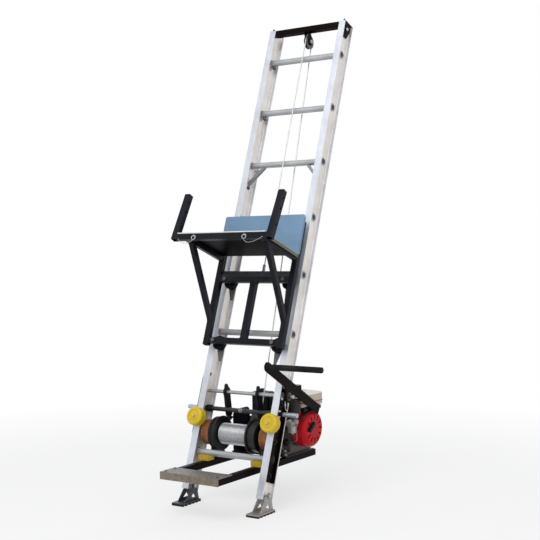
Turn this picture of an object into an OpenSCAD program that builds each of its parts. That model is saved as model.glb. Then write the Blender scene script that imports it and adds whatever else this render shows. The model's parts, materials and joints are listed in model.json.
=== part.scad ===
// Leaning ladder hoist: a ladder track, a lifting carriage with a load platform, and an engine winch.
// The ground is Z = 0, the operator stands at -Y, and the middle of the bottom rung is over the origin.

/* [Ladder] */
// Angle of the ladder from upright, in degrees
lean = 19.5; // [17:0.5:22]
// Height of the bottom rung's centre above the ground
rung_height = 240; // [232:1:250]
// Distance between the rails, web to web
rail_spacing = 434; // [428:1:450]
// Depth of a rail, front face to back face
rail_depth = 88; // [84:1:92]
// Width of a rail's flanges
flange_width = 36; // [34:1:38]
// Thickness of a rail's flanges
flange_thickness = 4; // [3:0.5:5]
// Thickness of a rail's web
web_thickness = 4; // [3:0.5:5]
// Distance from rung to rung
rung_pitch = 305; // [295:1:320]
// Number of rung places, the lever shaft's place among them
rung_places = 8; // [7:1:9]
// Outside diameter of a rung
rung_diameter = 32; // [30:1:34]
// Length of rail below the bottom rung
rail_drop = 190; // [185:1:200]
// Length of rail above the top rung
rail_rise = 180; // [175:1:200]

/* [Carriage] */
// Height of the lower crossbeam up the ladder, from the bottom rung
carriage_up = 541; // [500:1:700]
// Height between the lower and the upper crossbeam
crossbeam_rise = 319; // [300:1:340]
// Outside size of the carriage's square tubes
carriage_tube = 30; // [28:1:32]
// Distance of the carriage's tubes in front of the rail's middle
carriage_front = 90; // [86:1:100]
// Height of the platform's underside above the lower crossbeam
platform_rise = 414; // [400:1:440]
// Reach of the platform from its back plate to the front beam
platform_reach = 306; // [280:1:330]
// Width of the platform's front beam, without the posts
front_beam_length = 520; // [490:2:546]
// Height of the back plate above the deck
back_plate_height = 212; // [180:1:240]
// Length of a load post
post_length = 252; // [200:1:300]
// Angle at which the load posts lean back, in degrees
post_lean = 8.5; // [4:0.5:12]
// Diameter of a guide wheel
wheel_diameter = 72; // [68:1:74]

/* [Winch] */
// Place of the drum's axis behind the bottom rung
drum_y = 60; // [56:1:70]
// Height of the drum's axis
drum_z = 329; // [325:1:340]
// Length of the drum between its flanges
drum_length = 184; // [180:1:188]
// Diameter of the drum's core
drum_core = 90; // [84:1:96]
// Diameter of the drum's flanges
drum_flange = 170; // [160:1:172]
// Diameter of the hoist rope
rope_diameter = 6.4; // [5:0.1:6.6]
// Number of turns in the drum's outer layer
rope_turns = 24; // [16:1:24]
// Pitch diameter of the head sheave
sheave_pitch_diameter = 60; // [58:1:64]
// Outside size of the base arms' square tube
arm_tube = 32; // [30:1:36]
// Height of the base arms' underside
arm_bottom = 173; // [170:1:176]
// Reach of the base arms in front of the bottom rung
arm_front = 351; // [330:1:380]
// Reach of the base arms behind the bottom rung
arm_back = 500; // [480:1:520]
// Distance between the middles of the two base arms
arm_spacing = 294; // [290:1:300]
// Depth of the tread plate
tread_depth = 110; // [90:1:130]

/* [Control lever] */
// Diameter of the lever's cross shaft
shaft_diameter = 18; // [16:1:20]
// Reach of the lever's handle in front of its shaft
handle_reach = 178; // [160:1:200]
// Height of the lever's handle above its shaft
handle_rise = 158; // [140:1:170]
// Length of the lever's handle
handle_length = 290; // [250:1:310]
// Reach of the lever's tail behind its shaft
tail_reach = 262; // [240:1:270]
// Drop of the lever's tail below its shaft
tail_drop = 89; // [80:1:95]

/* [Engine] */
// Place of the crankshaft behind the bottom rung
crank_y = 356; // [352:1:362]
// Height of the crankshaft above the engine plate
crank_rise = 125; // [122:1:130]
// Place of the recoil cover's outer face to the side
recoil_face = 246; // [240:1:256]
// Diameter of the fan housing
fan_diameter = 184; // [170:1:190]
// Height of the fuel tank's underside above the crankshaft
tank_rise = 112; // [106:1:120]
// Width of the fuel tank, along the crankshaft
tank_width = 170; // [150:1:174]
// Depth of the fuel tank
tank_depth = 200; // [180:1:210]
// Height of the fuel tank
tank_height = 78; // [68:1:84]

/* [Hidden] */

$fn = 48;
// Angles of a whole and of a half turn, in degrees
full_turn = 360;
half_turn = 180;
// Overrun of every cut past the face that it opens
overrun = 1;
// Gap between pieces that are bolted or slid together
fit_gap = 0.1;
// Gap between pieces that turn or slide past each other
run_gap = 0.4;
// Radial clearance of a turning shaft in its hole
shaft_clearance = 0.05;
// A bolt head's width, as a share of the shank's
bolt_head_share = 1.8;

// Paint and metal colours
aluminium = [0.80, 0.82, 0.84];
black_paint = [0.06, 0.06, 0.07];
zinc = [0.70, 0.71, 0.72];
yellow = [0.93, 0.78, 0.05];
red = [0.72, 0.03, 0.05];
cream = [0.86, 0.83, 0.72];
brown = [0.55, 0.27, 0.10];
rubber = [0.10, 0.10, 0.10];
steel = [0.62, 0.63, 0.64];

// Rail places, worked out from the ladder's sizes
rail_x = rail_spacing / 2;
rail_top = rung_pitch * (rung_places - 1) + rail_rise;
inner_edge = rail_x - flange_width / 2;
outer_edge = rail_x + flange_width / 2;
web_inner = rail_x - web_thickness / 2;
web_outer = rail_x + web_thickness / 2;
rail_fillet = 3;
shaft_place = 1;
shaft_up = shaft_place * rung_pitch;
rung_wall = 2.5;
rung_flat_share = 0.82;
collar_diameter = 41;
collar_thickness = 3;
collar_hole = collar_diameter + 2 * fit_gap;
knee_place = 5;
knee_reach = 78;
knee_drop = 104;
knee_bar = 10;
knee_depth = 18;

// Shoes
shoe_up = -168;
shoe_y = shoe_up * sin(lean);
shoe_z = rung_height + shoe_up * cos(lean);
shoe_bolt_diameter = 12;
ear_thickness = 4;
ear_gap = 1.5;
ear_head = 17;
ear_foot_share = 0.72;
ear_window_shares = [[-0.34, 0.82], [0.06, 0.82], [-0.06, 0.50]];
ear_x = flange_width / 2 + ear_gap;
shoe_front = 106;
shoe_back = 34;
shoe_width = 70;
shoe_plate = 5;
sole_thickness = 9;
sole_tread_count = 5;
sole_tread_depth = 3;
sole_tread_share = 0.5;

// Head of the ladder
head_tube = 32;
head_wall = 3;
head_set_back = 1;
head_y = -rail_depth / 2 + head_set_back + head_tube / 2;
head_z = rail_top - head_set_back - head_tube / 2;
tongue_height = 24;
tongue_depth = 22;
tongue_back = 3;
head_plate_thickness = 5;
head_plate_drop = 78;
head_plate_shoulder = 30;
head_plate_tip = 14;
head_hook_reach = 20;
head_hook_height = 14;
head_bolt_diameter = 10;
sheave_r = sheave_pitch_diameter / 2;
sheave_rim_height = 8;
sheave_rim = sheave_r + sheave_rim_height;
sheave_width = 16;
sheave_flare = 2.5;
sheave_axle_diameter = 12;
sheave_drop = 4;
sheave_z = head_z - head_tube / 2 - sheave_rim - sheave_drop;
cheek_thickness = 5;
cheek_radius = 18;
sheave_hub = 11;
sheave_web_share = 0.34;

// Carriage
tube_wall = 2.5;
tube_corner = 3;
side_x = outer_edge - carriage_tube / 2;
side_tube_rise = 232;
side_rise = platform_rise + side_tube_rise;
side_drop = 10;
wheel_r = wheel_diameter / 2;
wheel_groove_depth = 12;
wheel_groove = wheel_r - wheel_groove_depth;
wheel_groove_gap = 1;
wheel_cheek = 8;
wheel_width = flange_thickness + 2 * wheel_groove_gap + 2 * wheel_cheek;
wheel_x = inner_edge - wheel_groove - run_gap;
wheel_y = -(rail_depth - flange_thickness) / 2;
wheel_bolt_diameter = 12;
wheel_hole = wheel_bolt_diameter + 2 * fit_gap;
wheel_bolt_head = wheel_bolt_diameter * bolt_head_share;
wheel_recess = 3;
tab_thickness = 3;
tab_head = 26;
tab_drop = 92;
tab_tip = 14;
tab_tip_in = 4;
wheel_hub_diameter = 30;
beam_tube = 25;
centre_tube = 32;
platform_z = carriage_up + platform_rise;
deck_thickness = 3;
deck_overhang = 8;
deck_lip = 12;
back_plate_thickness = 3;
back_plate_corner = 10;
back_plate_return = 14;
back_plate_half = outer_edge + fit_gap;
back_plate_y = -carriage_front - carriage_tube / 2;
front_beam_y = back_plate_y - platform_reach - carriage_tube / 2;
front_beam_drop = 2;
post_tube = 32;
post_x = front_beam_length / 2 + post_tube / 2;
post_cap = 4;
post_hole = 12;
post_hole_shares = [0.28, 0.62, 0.84];
brace_foot = 114;
brace_reach = 250;
brace_width = 25;
brace_cut = 34;
rope_beam_height = 32;
channel_top = 10;
anchor_half = 14;
anchor_thickness = 10;
anchor_end = 20;
ferrule_diameter = 15;
ferrule_length = 52;
anchor_z = carriage_up + crossbeam_rise + carriage_tube / 2 + rope_beam_height - anchor_thickness;
rope_foot_z = anchor_z + anchor_thickness + ferrule_length;
pin_diameter = 8;
pin_hole = pin_diameter + 2 * fit_gap;
pin_ring = 11;
pin_ring_wire = 2;
pin_inset = 60;
pin_place = side_x - beam_tube / 2 - pin_inset;

// Winch
drum_x = -12;
flange_plate = 6;
drum_left = drum_x - drum_length / 2;
drum_right = drum_x + drum_length / 2;
drum_shaft_diameter = 25;
drum_flange_bead = 3;
band_diameter = 148;
band_width = 42;
shaft_end = 4;
pulley_gap = 2;
pulley_width = 26;
pulley_r = 80;
pulley_x = drum_left - flange_plate - pulley_gap - pulley_width / 2;
belt_width = 13;
belt_thickness = 9;
tangent_gap = 0.05;
groove_floor = 7;
engine_pulley_r = 36;
disc_diameter = 124;
disc_lining = 8;
disc_margin = 5.6;
disc_recess_share = 0.17;
stand_thickness = 8;
stand_inset = 4;
stand_foot_front = 42;
stand_foot_back = 70;
stand_head = 38;
arm_x = arm_spacing / 2;
stand_x = arm_x - stand_inset;
disc_in = stand_x + stand_thickness / 2 + run_gap;
disc_width = inner_edge - disc_margin - disc_in;
arm_top = arm_bottom + arm_tube;
arm_wall = 3;
stand_bore_gap = 0.06;
tread_plate_thickness = 3;
tread_lip = 35;
tread_half = arm_x + arm_tube / 2 + tread_plate_thickness;
saddle_gap = 14;
saddle_lap = 6;
saddle_out = inner_edge - saddle_gap;
saddle_in = arm_x - arm_tube / 2 - saddle_lap;
saddle_x = (saddle_out + saddle_in) / 2;
saddle_front = 36;
saddle_back = 15;
saddle_height = 26;
saddle_width = saddle_out - saddle_in;
upright_thickness = 15;
upright_bottom = -106;
upright_top = 340;
upright_margin = 3;
upright_lip = 3;
bar_diameter = 22;
bar_up = 217;
bar_length = 640;
bumper_diameter = 92;
bumper_depth = 42;
bumper_up = 160;
bumper_nose = 26;
bumper_groove = 3.5;
bumper_step = 14;
bumper_round = 11;
bumper_bolt = 12;
bumper_head = 9;

// Rope: the winding's turns lie a pitch apart, and the falls run over the head sheave
rope_r = rope_diameter / 2;
rope_lift = 0.5;
wind_r = drum_core / 2 + rope_r + rope_lift;
wind_margin = 3;
clamp_left = 5;
clamp_right = 3;
clamp_length = 12;
clamp_floor = 40;
fall_step = 7.6;
wind_pitch = (drum_length - 2 * (wind_margin + rope_r) - fall_step) / rope_turns;
wind_sides = 6;
fall_sides = 12;
fall_steps = 18;
fall_wrap = 300;
fall_wrap_steps = 20;
wind_steps = 24;
wind_start = drum_left + wind_margin + rope_r;
wind_end = wind_start + wind_pitch * rope_turns;
fall_x = wind_end + fall_step;
drum_back = drum_y * cos(lean) - (drum_z - rung_height) * sin(lean);
drum_up = drum_y * sin(lean) + (drum_z - rung_height) * cos(lean);
fall_length = norm([drum_back, sheave_z - drum_up]);
fall_turn = atan2(drum_back, sheave_z - drum_up) + asin((wind_r - sheave_r) / fall_length);

// Control lever
lever_thickness = 8;
lever_gap = 14;
lever_x = outer_edge + lever_gap;
lever_width = 46;
lever_hub = 30;
lug_neck = 26;
lug_root = 62;
grip_diameter = 28;
grip_end = 6;
shaft_overhang = 24;
shaft_left_end = 246;
brake_arm_thickness = 8;
brake_arm_width = 46;
brake_head = 26;
brake_ear = 30;
brake_ear_tip = 11;
shoe_angle = 52;
shoe_span = 28;
shoe_depth = 9;
bead_share = 0.62;
shoe_gap = 3.4;
brake_x = [drum_left - flange_plate / 2, drum_right + flange_plate / 2];

// Engine
plate_thickness = 6;
guard_thickness = 3;
guard_gap = 2.4;
guard_front = 165;
guard_back = 312;
guard_height = 219;
guard_corner = 30;
guard_foot = 24;
engine_plate_front = 222;
engine_plate_back = 486;
engine_z = arm_top + plate_thickness;
crank_z = engine_z + crank_rise;
case_left = -34;
gear_left = -98;
gear_radius = 72;
case_right = 150;
case_foot = 104;
case_foot_height = 14;
case_radius = 78;
cylinder_tilt = 10;
cylinder_length = 168;
cylinder_size = 104;
fin_count = 7;
fin_gap_share = 0.55;
fin_depth = 9;
fan_x = case_right;
fan_depth = 46;
fan_corner = 12;
recoil_drop = 26;
vent_count = 12;
vent_length = 26;
vent_width = 9;
vent_radius = 58;
starter_y = -41;
starter_z = 15;
starter_tilt = 35;
starter_gap = 0.3;
starter_cord = 4;
starter_cord_length = 86;
grip_length = 62;
grip_width = 17;
grip_corner_share = 0.33;
tank_x = 158;
tank_corner = 26;
tank_crown = 18;
cap_diameter = 58;
cap_shift = 20;
cap_seat = 3;
cap_height = 24;
cap_ribs = 12;
cap_rib = 12;
cap_rib_out = 3;
cap_gap = 0.3;
filter_x = 32;
filter_width = 92;
filter_depth = 72;
filter_height = 110;
filter_rise = cylinder_length * sin(cylinder_tilt) + cylinder_size / 2 * cos(cylinder_tilt);
muffler_x = 136;
muffler_width = 96;
muffler_depth = 72;
muffler_height = 112;
louvre_count = 8;
louvre_height = 5;
louvre_depth = 4;
box_corner = 14;
louvre_length = muffler_width - 2 * box_corner;
box_gap = 6;
box_y = -tank_depth / 2 - box_gap;
box_ease = 0.4;
edge_share = 0.8;
end_share = 0.62;
engine_shaft_diameter = 20;

// Frames and shared shapes
module on_ladder()
    translate([0, 0, rung_height])
        rotate([-lean, 0, 0])
            children();

module along_x(length)
    rotate([90, 0, 90])
        linear_extrude(length, center = true)
            children();

module rounded_square(width, height, corner) {
    square([width - 2 * corner, height], center = true);
    square([width, height - 2 * corner], center = true);
    for (x = [-1, 1], y = [-1, 1])
        translate([x * (width / 2 - corner), y * (height / 2 - corner)])
            circle(corner);
}

module tube_profile(size, wall) {
    difference() {
        rounded_square(size, size, tube_corner);
        square(size - 2 * wall, center = true);
    }
}

module fillet(radius) {
    difference() {
        square(radius);
        translate([radius, radius])
            circle(radius);
    }
}

module rod_between(start, stop, diameter) {
    step = stop - start;
    length = norm(step);
    translate(start)
        rotate([0, acos(step.z / length), atan2(step.y, step.x)])
            cylinder(d = diameter, h = length);
}

module pin_x(diameter, length)
    rotate([0, 90, 0])
        cylinder(d = diameter, h = length, center = true);

module bolt_head_x(across, height)
    rotate([0, 90, 0])
        cylinder(d = across, h = height, $fn = 6);

// Ladder
module rail_profile() {
    square([web_thickness, rail_depth], center = true);
    for (side = [-1, 1])
        translate([0, side * (rail_depth - flange_thickness) / 2])
            square([flange_width, flange_thickness], center = true);
    for (x = [0, 1], y = [0, 1])
        mirror([x, 0])
            mirror([0, y])
                translate([web_thickness / 2, -rail_depth / 2 + flange_thickness])
                    fillet(rail_fillet);
}

module rail_holes() {
    hole_length = web_thickness + 2 * overrun;
    for (place = [0 : rung_places - 1])
        if (place != shaft_place)
            translate([0, 0, place * rung_pitch])
                pin_x(rung_diameter + 2 * fit_gap, hole_length);
    translate([0, 0, shaft_up])
        pin_x(shaft_diameter + 2 * shaft_clearance, hole_length);
    translate([0, 0, bar_up])
        pin_x(bar_diameter + 2 * fit_gap, hole_length);
    translate([0, 0, shoe_up])
        pin_x(shoe_bolt_diameter + 2 * fit_gap, hole_length);
    translate([0, head_y, head_z])
        pin_x(head_bolt_diameter + 2 * fit_gap, hole_length);
    translate([0, -rail_depth / 2 + flange_thickness / 2, bumper_up])
        rotate([90, 0, 0])
            cylinder(d = bumper_bolt + 2 * fit_gap, h = flange_thickness + 2 * overrun, center = true);
}

module rail(side)
    color(aluminium)
        on_ladder()
            translate([side * rail_x, 0, 0])
                difference() {
                    translate([0, 0, -rail_drop])
                        linear_extrude(rail_drop + rail_top)
                            rail_profile();
                    rail_holes();
                }

module rung_profile() {
    intersection() {
        circle(d = rung_diameter);
        translate([0, -rung_diameter * (1 - rung_flat_share) / 2])
            square([2 * rung_diameter, rung_diameter], center = true);
    }
}

module rung() {
    hole = rung_diameter - 2 * rung_wall - rung_diameter * (1 - rung_flat_share);
    difference() {
        union() {
            along_x(2 * web_outer)
                rung_profile();
            for (side = [-1, 1], face = [web_inner - collar_thickness / 2, web_outer + collar_thickness / 2])
                translate([side * face, 0, 0])
                    pin_x(collar_diameter, collar_thickness);
        }
        pin_x(hole, 2 * rail_spacing);
    }
}

module rungs()
    color(aluminium)
        on_ladder()
            for (place = [0 : rung_places - 1])
                if (place != shaft_place)
                    translate([0, 0, place * rung_pitch])
                        rung();

module knee_braces()
    color(aluminium)
        on_ladder()
            translate([0, 0, knee_place * rung_pitch])
                for (side = [0, 1])
                    mirror([side, 0, 0])
                        translate([web_inner, 0, 0])
                            rotate([90, 0, 0])
                                linear_extrude(knee_depth, center = true)
                                    polygon([
                                        [0, -knee_drop - knee_bar],
                                        [0, -knee_drop + knee_bar],
                                        [-knee_reach + knee_bar, -rung_diameter / 2 - shaft_clearance],
                                        [-knee_reach - knee_bar, -rung_diameter / 2 - shaft_clearance]]);

// Shoes
module ear_profile() {
    plate_top = sole_thickness + shoe_plate - shoe_z;
    difference() {
        union() {
            circle(ear_head);
            polygon([
                [-shoe_front * ear_foot_share, plate_top],
                [shoe_back, plate_top],
                [ear_head, 0],
                [-ear_head, 0]]);
        }
        circle(d = shoe_bolt_diameter + 2 * shaft_clearance);
        polygon([for (share = ear_window_shares) [share.x * shoe_front, share.y * plate_top]]);
    }
}

module shoe_place(side)
    translate([side * rail_x, shoe_y, shoe_z])
        children();

module shoe(side)
    color(zinc)
        shoe_place(side)
            union() {
                for (ear = [-1, 1])
                    translate([ear * (ear_x + ear_thickness / 2), 0, 0])
                        along_x(ear_thickness)
                            ear_profile();
                translate([-shoe_width / 2, -shoe_front, sole_thickness - shoe_z])
                    cube([shoe_width, shoe_front + shoe_back, shoe_plate]);
            }

module sole(side) {
    length = shoe_front + shoe_back;
    pitch = length / sole_tread_count;
    color(rubber)
        shoe_place(side)
            translate([0, -shoe_front, -shoe_z])
                difference() {
                    translate([-shoe_width / 2, 0, 0])
                        cube([shoe_width, length, sole_thickness]);
                    for (row = [1 : sole_tread_count])
                        translate([-shoe_width, (row - 1 + (1 - sole_tread_share) / 2) * pitch, -overrun])
                            cube([2 * shoe_width, pitch * sole_tread_share, sole_tread_depth + overrun]);
                }
}

// Head of the ladder, with the sheave's cheeks welded under the beam
module cheek_profile() {
    beam_under = head_z - head_tube / 2;
    difference() {
        union() {
            translate([0, sheave_z])
                circle(cheek_radius);
            polygon([
                [head_y - head_tube / 2, beam_under],
                [head_y + head_tube / 2, beam_under],
                [cheek_radius, sheave_z],
                [-cheek_radius, sheave_z]]);
        }
        translate([0, sheave_z])
            circle(d = sheave_axle_diameter + 2 * fit_gap);
    }
}

module head_beam() {
    length = 2 * (inner_edge - run_gap);
    tongue_length = web_inner - inner_edge + 2 * head_wall;
    tongue_x = (inner_edge + web_inner) / 2 - head_wall;
    color(black_paint)
        on_ladder()
            difference() {
                union() {
                    translate([0, head_y, head_z])
                        along_x(length)
                            tube_profile(head_tube, head_wall);
                    for (side = [-1, 1])
                        translate([side * tongue_x, head_y + tongue_back, head_z])
                            cube([tongue_length, tongue_depth, tongue_height], center = true);
                    for (side = [-1, 1])
                        translate([side * (sheave_width / 2 + run_gap + cheek_thickness / 2), 0, 0])
                            along_x(cheek_thickness)
                                cheek_profile();
                }
                translate([0, head_y, head_z])
                    pin_x(head_bolt_diameter + 2 * fit_gap, 2 * rail_spacing);
            }
}

module head_plate_profile() {
    half = rail_depth / 2 - flange_thickness - rail_fillet;
    top = rail_top + head_hook_height;
    hook = rail_depth / 2 + head_hook_reach;
    polygon([
        [-half, rail_top - head_plate_shoulder],
        [-head_plate_tip, rail_top - head_plate_drop],
        [head_plate_tip, rail_top - head_plate_drop],
        [half, rail_top - head_plate_shoulder],
        [half, rail_top + fit_gap],
        [hook, rail_top + fit_gap],
        [hook, top],
        [-half, top]]);
}

module head_plates()
    color(black_paint)
        on_ladder()
            for (side = [-1, 1])
                union() {
                    translate([side * (web_outer + head_plate_thickness / 2), 0, 0])
                        difference() {
                            along_x(head_plate_thickness)
                                head_plate_profile();
                            translate([0, 0, rail_top - head_plate_drop / 2])
                                pin_x(head_bolt_diameter, head_plate_thickness + 2 * overrun);
                        }
                    translate([side * (web_outer + web_inner - overrun) / 2, head_y, head_z])
                        pin_x(head_bolt_diameter, web_thickness + overrun);
                    translate([side * (web_outer + head_plate_thickness), head_y, head_z])
                        mirror([side < 0 ? 1 : 0, 0, 0])
                            bolt_head_x(head_bolt_diameter * bolt_head_share, head_bolt_diameter / 2);
                }

module sheave_mouth() {
    floor_half = rope_r + run_gap;
    polygon([
        [sheave_r, -floor_half],
        [sheave_rim + overrun, -floor_half - sheave_flare],
        [sheave_rim + overrun, floor_half + sheave_flare],
        [sheave_r, floor_half]]);
}

module sheave()
    color(zinc)
        on_ladder()
            translate([0, 0, sheave_z])
                rotate([0, 90, 0])
                    rotate_extrude()
                        difference() {
                            bore = sheave_axle_diameter / 2 + shaft_clearance;
                            translate([bore, -sheave_width / 2])
                                square([sheave_rim - bore, sheave_width]);
                            translate([sheave_r, 0])
                                circle(rope_r + run_gap);
                            sheave_mouth();
                            for (face = [0, 1])
                                mirror([0, face])
                                    translate([sheave_hub, sheave_width * sheave_web_share])
                                        square([sheave_r - sheave_hub - 2 * rope_r, sheave_width]);
                        }

module pivot_bolt(diameter, grip)
    union() {
        pin_x(diameter, grip);
        for (end = [0, 1])
            mirror([end, 0, 0])
                translate([grip / 2, 0, 0])
                    bolt_head_x(diameter * bolt_head_share, diameter / 2);
    }

module pivot_bolts()
    color(zinc)
        union() {
            for (side = [-1, 1])
                shoe_place(side)
                    pivot_bolt(shoe_bolt_diameter, 2 * (ear_x + ear_thickness + run_gap));
            on_ladder()
                translate([0, 0, sheave_z])
                    pivot_bolt(sheave_axle_diameter, sheave_width + 2 * (run_gap + cheek_thickness));
        }

// Carriage
module side_tubes()
    color(black_paint)
        on_ladder()
            for (side = [-1, 1])
                translate([side * side_x, -carriage_front, carriage_up - carriage_tube / 2 - side_drop])
                    linear_extrude(side_rise)
                        tube_profile(carriage_tube, tube_wall);

module crossbeam(up)
    color(black_paint)
        on_ladder()
            translate([0, -carriage_front, up])
                difference() {
                    along_x(2 * (side_x - carriage_tube / 2))
                        tube_profile(carriage_tube, tube_wall);
                    for (side = [-1, 1])
                        translate([side * wheel_x, 0, 0])
                            rotate([90, 0, 0])
                                cylinder(d = wheel_hole, h = 2 * carriage_tube, center = true);
                }

module upper_crossbeam()
    color(black_paint)
        union() {
            crossbeam(carriage_up + crossbeam_rise);
            on_ladder()
                translate([0, -carriage_front, carriage_up + crossbeam_rise])
                    along_x(2 * (side_x - carriage_tube / 2))
                        rope_channel();
        }

module rope_channel() {
    half = carriage_tube / 2;
    polygon([
        [-half, half - tube_corner],
        [half, half - tube_corner],
        [half, half + rope_beam_height],
        [half - channel_top, half + rope_beam_height]]);
}

module lower_crossbeam() crossbeam(carriage_up);

module centre_bar()
    color(black_paint)
        on_ladder()
            translate([0, -carriage_front, carriage_up + carriage_tube / 2])
                linear_extrude(crossbeam_rise - carriage_tube)
                    tube_profile(centre_tube, tube_wall);

module braces() {
    foot = carriage_up + brace_foot;
    front = -carriage_front - carriage_tube / 2;
    color(black_paint)
        on_ladder()
            for (side = [-1, 1])
                translate([side * side_x, 0, 0])
                    along_x(brace_width)
                        polygon([
                            [front, foot - brace_cut / 2],
                            [front, foot + brace_cut / 2],
                            [front - brace_reach + brace_cut / 2, platform_z],
                            [front - brace_reach - brace_cut / 2, platform_z]]);
}

module front_beam()
    color(black_paint)
        on_ladder()
            translate([0, front_beam_y, platform_z + beam_tube / 2 - front_beam_drop])
                difference() {
                    along_x(front_beam_length)
                        tube_profile(carriage_tube, tube_wall);
                    for (side = [-1, 1])
                        translate([side * pin_place, 0, 0])
                            rotate([90, 0, 0])
                                cylinder(d = pin_hole, h = 2 * carriage_tube, center = true);
                }

module side_beams() {
    start = front_beam_y + carriage_tube / 2;
    length = back_plate_y - start;
    color(black_paint)
        on_ladder()
            union() {
                for (side = [-1, 1])
                    translate([side * side_x, start, platform_z + beam_tube / 2])
                        rotate([-90, 0, 0])
                            linear_extrude(length)
                                tube_profile(beam_tube, tube_wall);
            }
}

module deck() {
    half = side_x + beam_tube / 2 + deck_overhang;
    start = front_beam_y + carriage_tube / 2;
    length = back_plate_y - back_plate_thickness - start;
    color(aluminium)
        on_ladder()
            translate([0, start, platform_z + beam_tube])
                union() {
                    translate([-half, 0, 0])
                        cube([2 * half, length, deck_thickness]);
                    for (side = [0, 1])
                        mirror([side, 0, 0])
                            translate([half - deck_thickness, 0, -deck_lip])
                                cube([deck_thickness, length, deck_lip + deck_thickness]);
                }
}

module back_plate() {
    base = platform_z + beam_tube;
    height = back_plate_height + deck_thickness;
    width = 2 * (back_plate_half + back_plate_thickness);
    straight = height - 2 * back_plate_corner;
    color([0.55, 0.66, 0.76])
        on_ladder()
            translate([0, back_plate_y, base])
                union() {
                    translate([0, 0, height / 2])
                        rotate([90, 0, 0])
                            linear_extrude(back_plate_thickness)
                                rounded_square(width, height, back_plate_corner);
                    for (side = [0, 1])
                        mirror([side, 0, 0])
                            translate([back_plate_half, -back_plate_thickness, back_plate_corner])
                                cube([back_plate_thickness, back_plate_return, straight]);
                }
}

module posts()
    color(black_paint)
        on_ladder()
            for (side = [-1, 1])
                translate([side * post_x, front_beam_y, platform_z - front_beam_drop])
                    rotate([-post_lean, 0, 0])
                        difference() {
                            linear_extrude(post_length)
                                rounded_square(post_tube, post_tube, tube_corner);
                            translate([0, 0, -overrun])
                                linear_extrude(post_length - post_cap + overrun)
                                    square(post_tube - 2 * tube_wall, center = true);
                            for (share = post_hole_shares)
                                translate([0, 0, share * post_length])
                                    pin_x(post_hole, 2 * post_tube);
                        }

module post_pins()
    color(zinc)
        on_ladder()
            for (side = [-1, 1])
                translate([side * pin_place, front_beam_y, platform_z + beam_tube / 2 - front_beam_drop])
                    union() {
                        rotate([90, 0, 0])
                            cylinder(d = pin_diameter, h = carriage_tube + 2 * pin_diameter, center = true);
                        translate([0, -carriage_tube / 2 - pin_diameter, pin_ring_wire - pin_ring])
                            rotate([90, 0, 0])
                                rotate_extrude()
                                    translate([pin_ring, 0])
                                        circle(pin_ring_wire);
                    }

module wheel(side, up)
    color(rubber)
        on_ladder()
            translate([side * wheel_x, wheel_y, up])
                rotate([90, 0, 0])
                    rotate_extrude()
                        difference() {
                            bore = wheel_bolt_diameter / 2 + shaft_clearance;
                            translate([bore, -wheel_width / 2])
                                square([wheel_r - bore, wheel_width]);
                            translate([wheel_groove, -flange_thickness / 2 - wheel_groove_gap])
                                square([wheel_r, flange_thickness + 2 * wheel_groove_gap]);
                            for (face = [0, 1])
                                mirror([0, face])
                                    translate([wheel_hub_diameter / 2, wheel_width / 2 - wheel_recess])
                                        square([wheel_groove - wheel_hub_diameter / 2, wheel_width]);
                        }

module wheel_tab_profile() {
    difference() {
        union() {
            circle(tab_head);
            polygon([
                [-tab_head, 0],
                [-tab_tip_in - tab_tip, -tab_drop],
                [-tab_tip_in, -tab_drop],
                [tab_head, 0]]);
        }
        circle(d = wheel_hole);
    }
}

module wheel_tabs()
    color(steel)
        on_ladder()
            for (side = [0, 1], up = [carriage_up, carriage_up + crossbeam_rise])
                mirror([side, 0, 0])
                    translate([wheel_x, wheel_y + wheel_width / 2 + run_gap, up])
                        rotate([90, 0, 0])
                            translate([0, 0, -tab_thickness])
                                linear_extrude(tab_thickness)
                                    wheel_tab_profile();

module wheel_bolts()
    color(zinc)
        on_ladder()
            for (side = [-1, 1], up = [carriage_up, carriage_up + crossbeam_rise]) {
                front = -carriage_front - carriage_tube / 2;
                back = wheel_y + wheel_width / 2 + run_gap + tab_thickness;
                seat = -carriage_front + carriage_tube / 2;
                spacer_end = wheel_y - wheel_width / 2 - run_gap;
                translate([side * wheel_x, 0, up])
                    rotate([-90, 0, 0])
                        union() {
                            translate([0, 0, front])
                                cylinder(d = wheel_bolt_diameter, h = back - front);
                            translate([0, 0, seat])
                                cylinder(d = wheel_bolt_head, h = spacer_end - seat);
                            translate([0, 0, front - wheel_bolt_diameter / 2])
                                cylinder(d = wheel_bolt_head, h = wheel_bolt_diameter / 2, $fn = 6);
                            translate([0, 0, back])
                                cylinder(d = wheel_bolt_head, h = wheel_bolt_diameter / 2, $fn = 6);
                        }
            }

module rope_anchor() {
    seat = -carriage_front + carriage_tube / 2;
    color(zinc)
        on_ladder()
            union() {
                translate([-anchor_half, seat, anchor_z])
                    cube([2 * anchor_half, -anchor_end - seat, anchor_thickness]);
                translate([0, -sheave_r, anchor_z])
                    cylinder(d = ferrule_diameter, h = anchor_thickness + ferrule_length);
            }
}

// Hoist rope
module front_rope()
    color(steel)
        on_ladder()
            translate([0, -sheave_r, rope_foot_z])
                cylinder(r = rope_r, h = sheave_z - rope_foot_z);

// One ring of the back fall, square to an arc of that radius round the centre
function fall_ring(angle, radius, centre) =
    [for (side = [0 : fall_sides - 1])
        let (spin = full_turn * side / fall_sides, out = radius + rope_r * cos(spin))
        centre + [rope_r * sin(spin), out * cos(angle), out * sin(angle)]];

// The fall comes over the sheave, runs down behind the rungs and lies on the drum beside the last turn
fall_rings = concat(
    [for (step = [0 : fall_steps])
        fall_ring(half_turn + (fall_turn - half_turn) * step / fall_steps, sheave_r, [0, 0, sheave_z])],
    [for (step = [0 : fall_wrap_steps])
        fall_ring(fall_turn - fall_wrap * step / fall_wrap_steps, wind_r, [fall_x, drum_back, drum_up])]);

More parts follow.
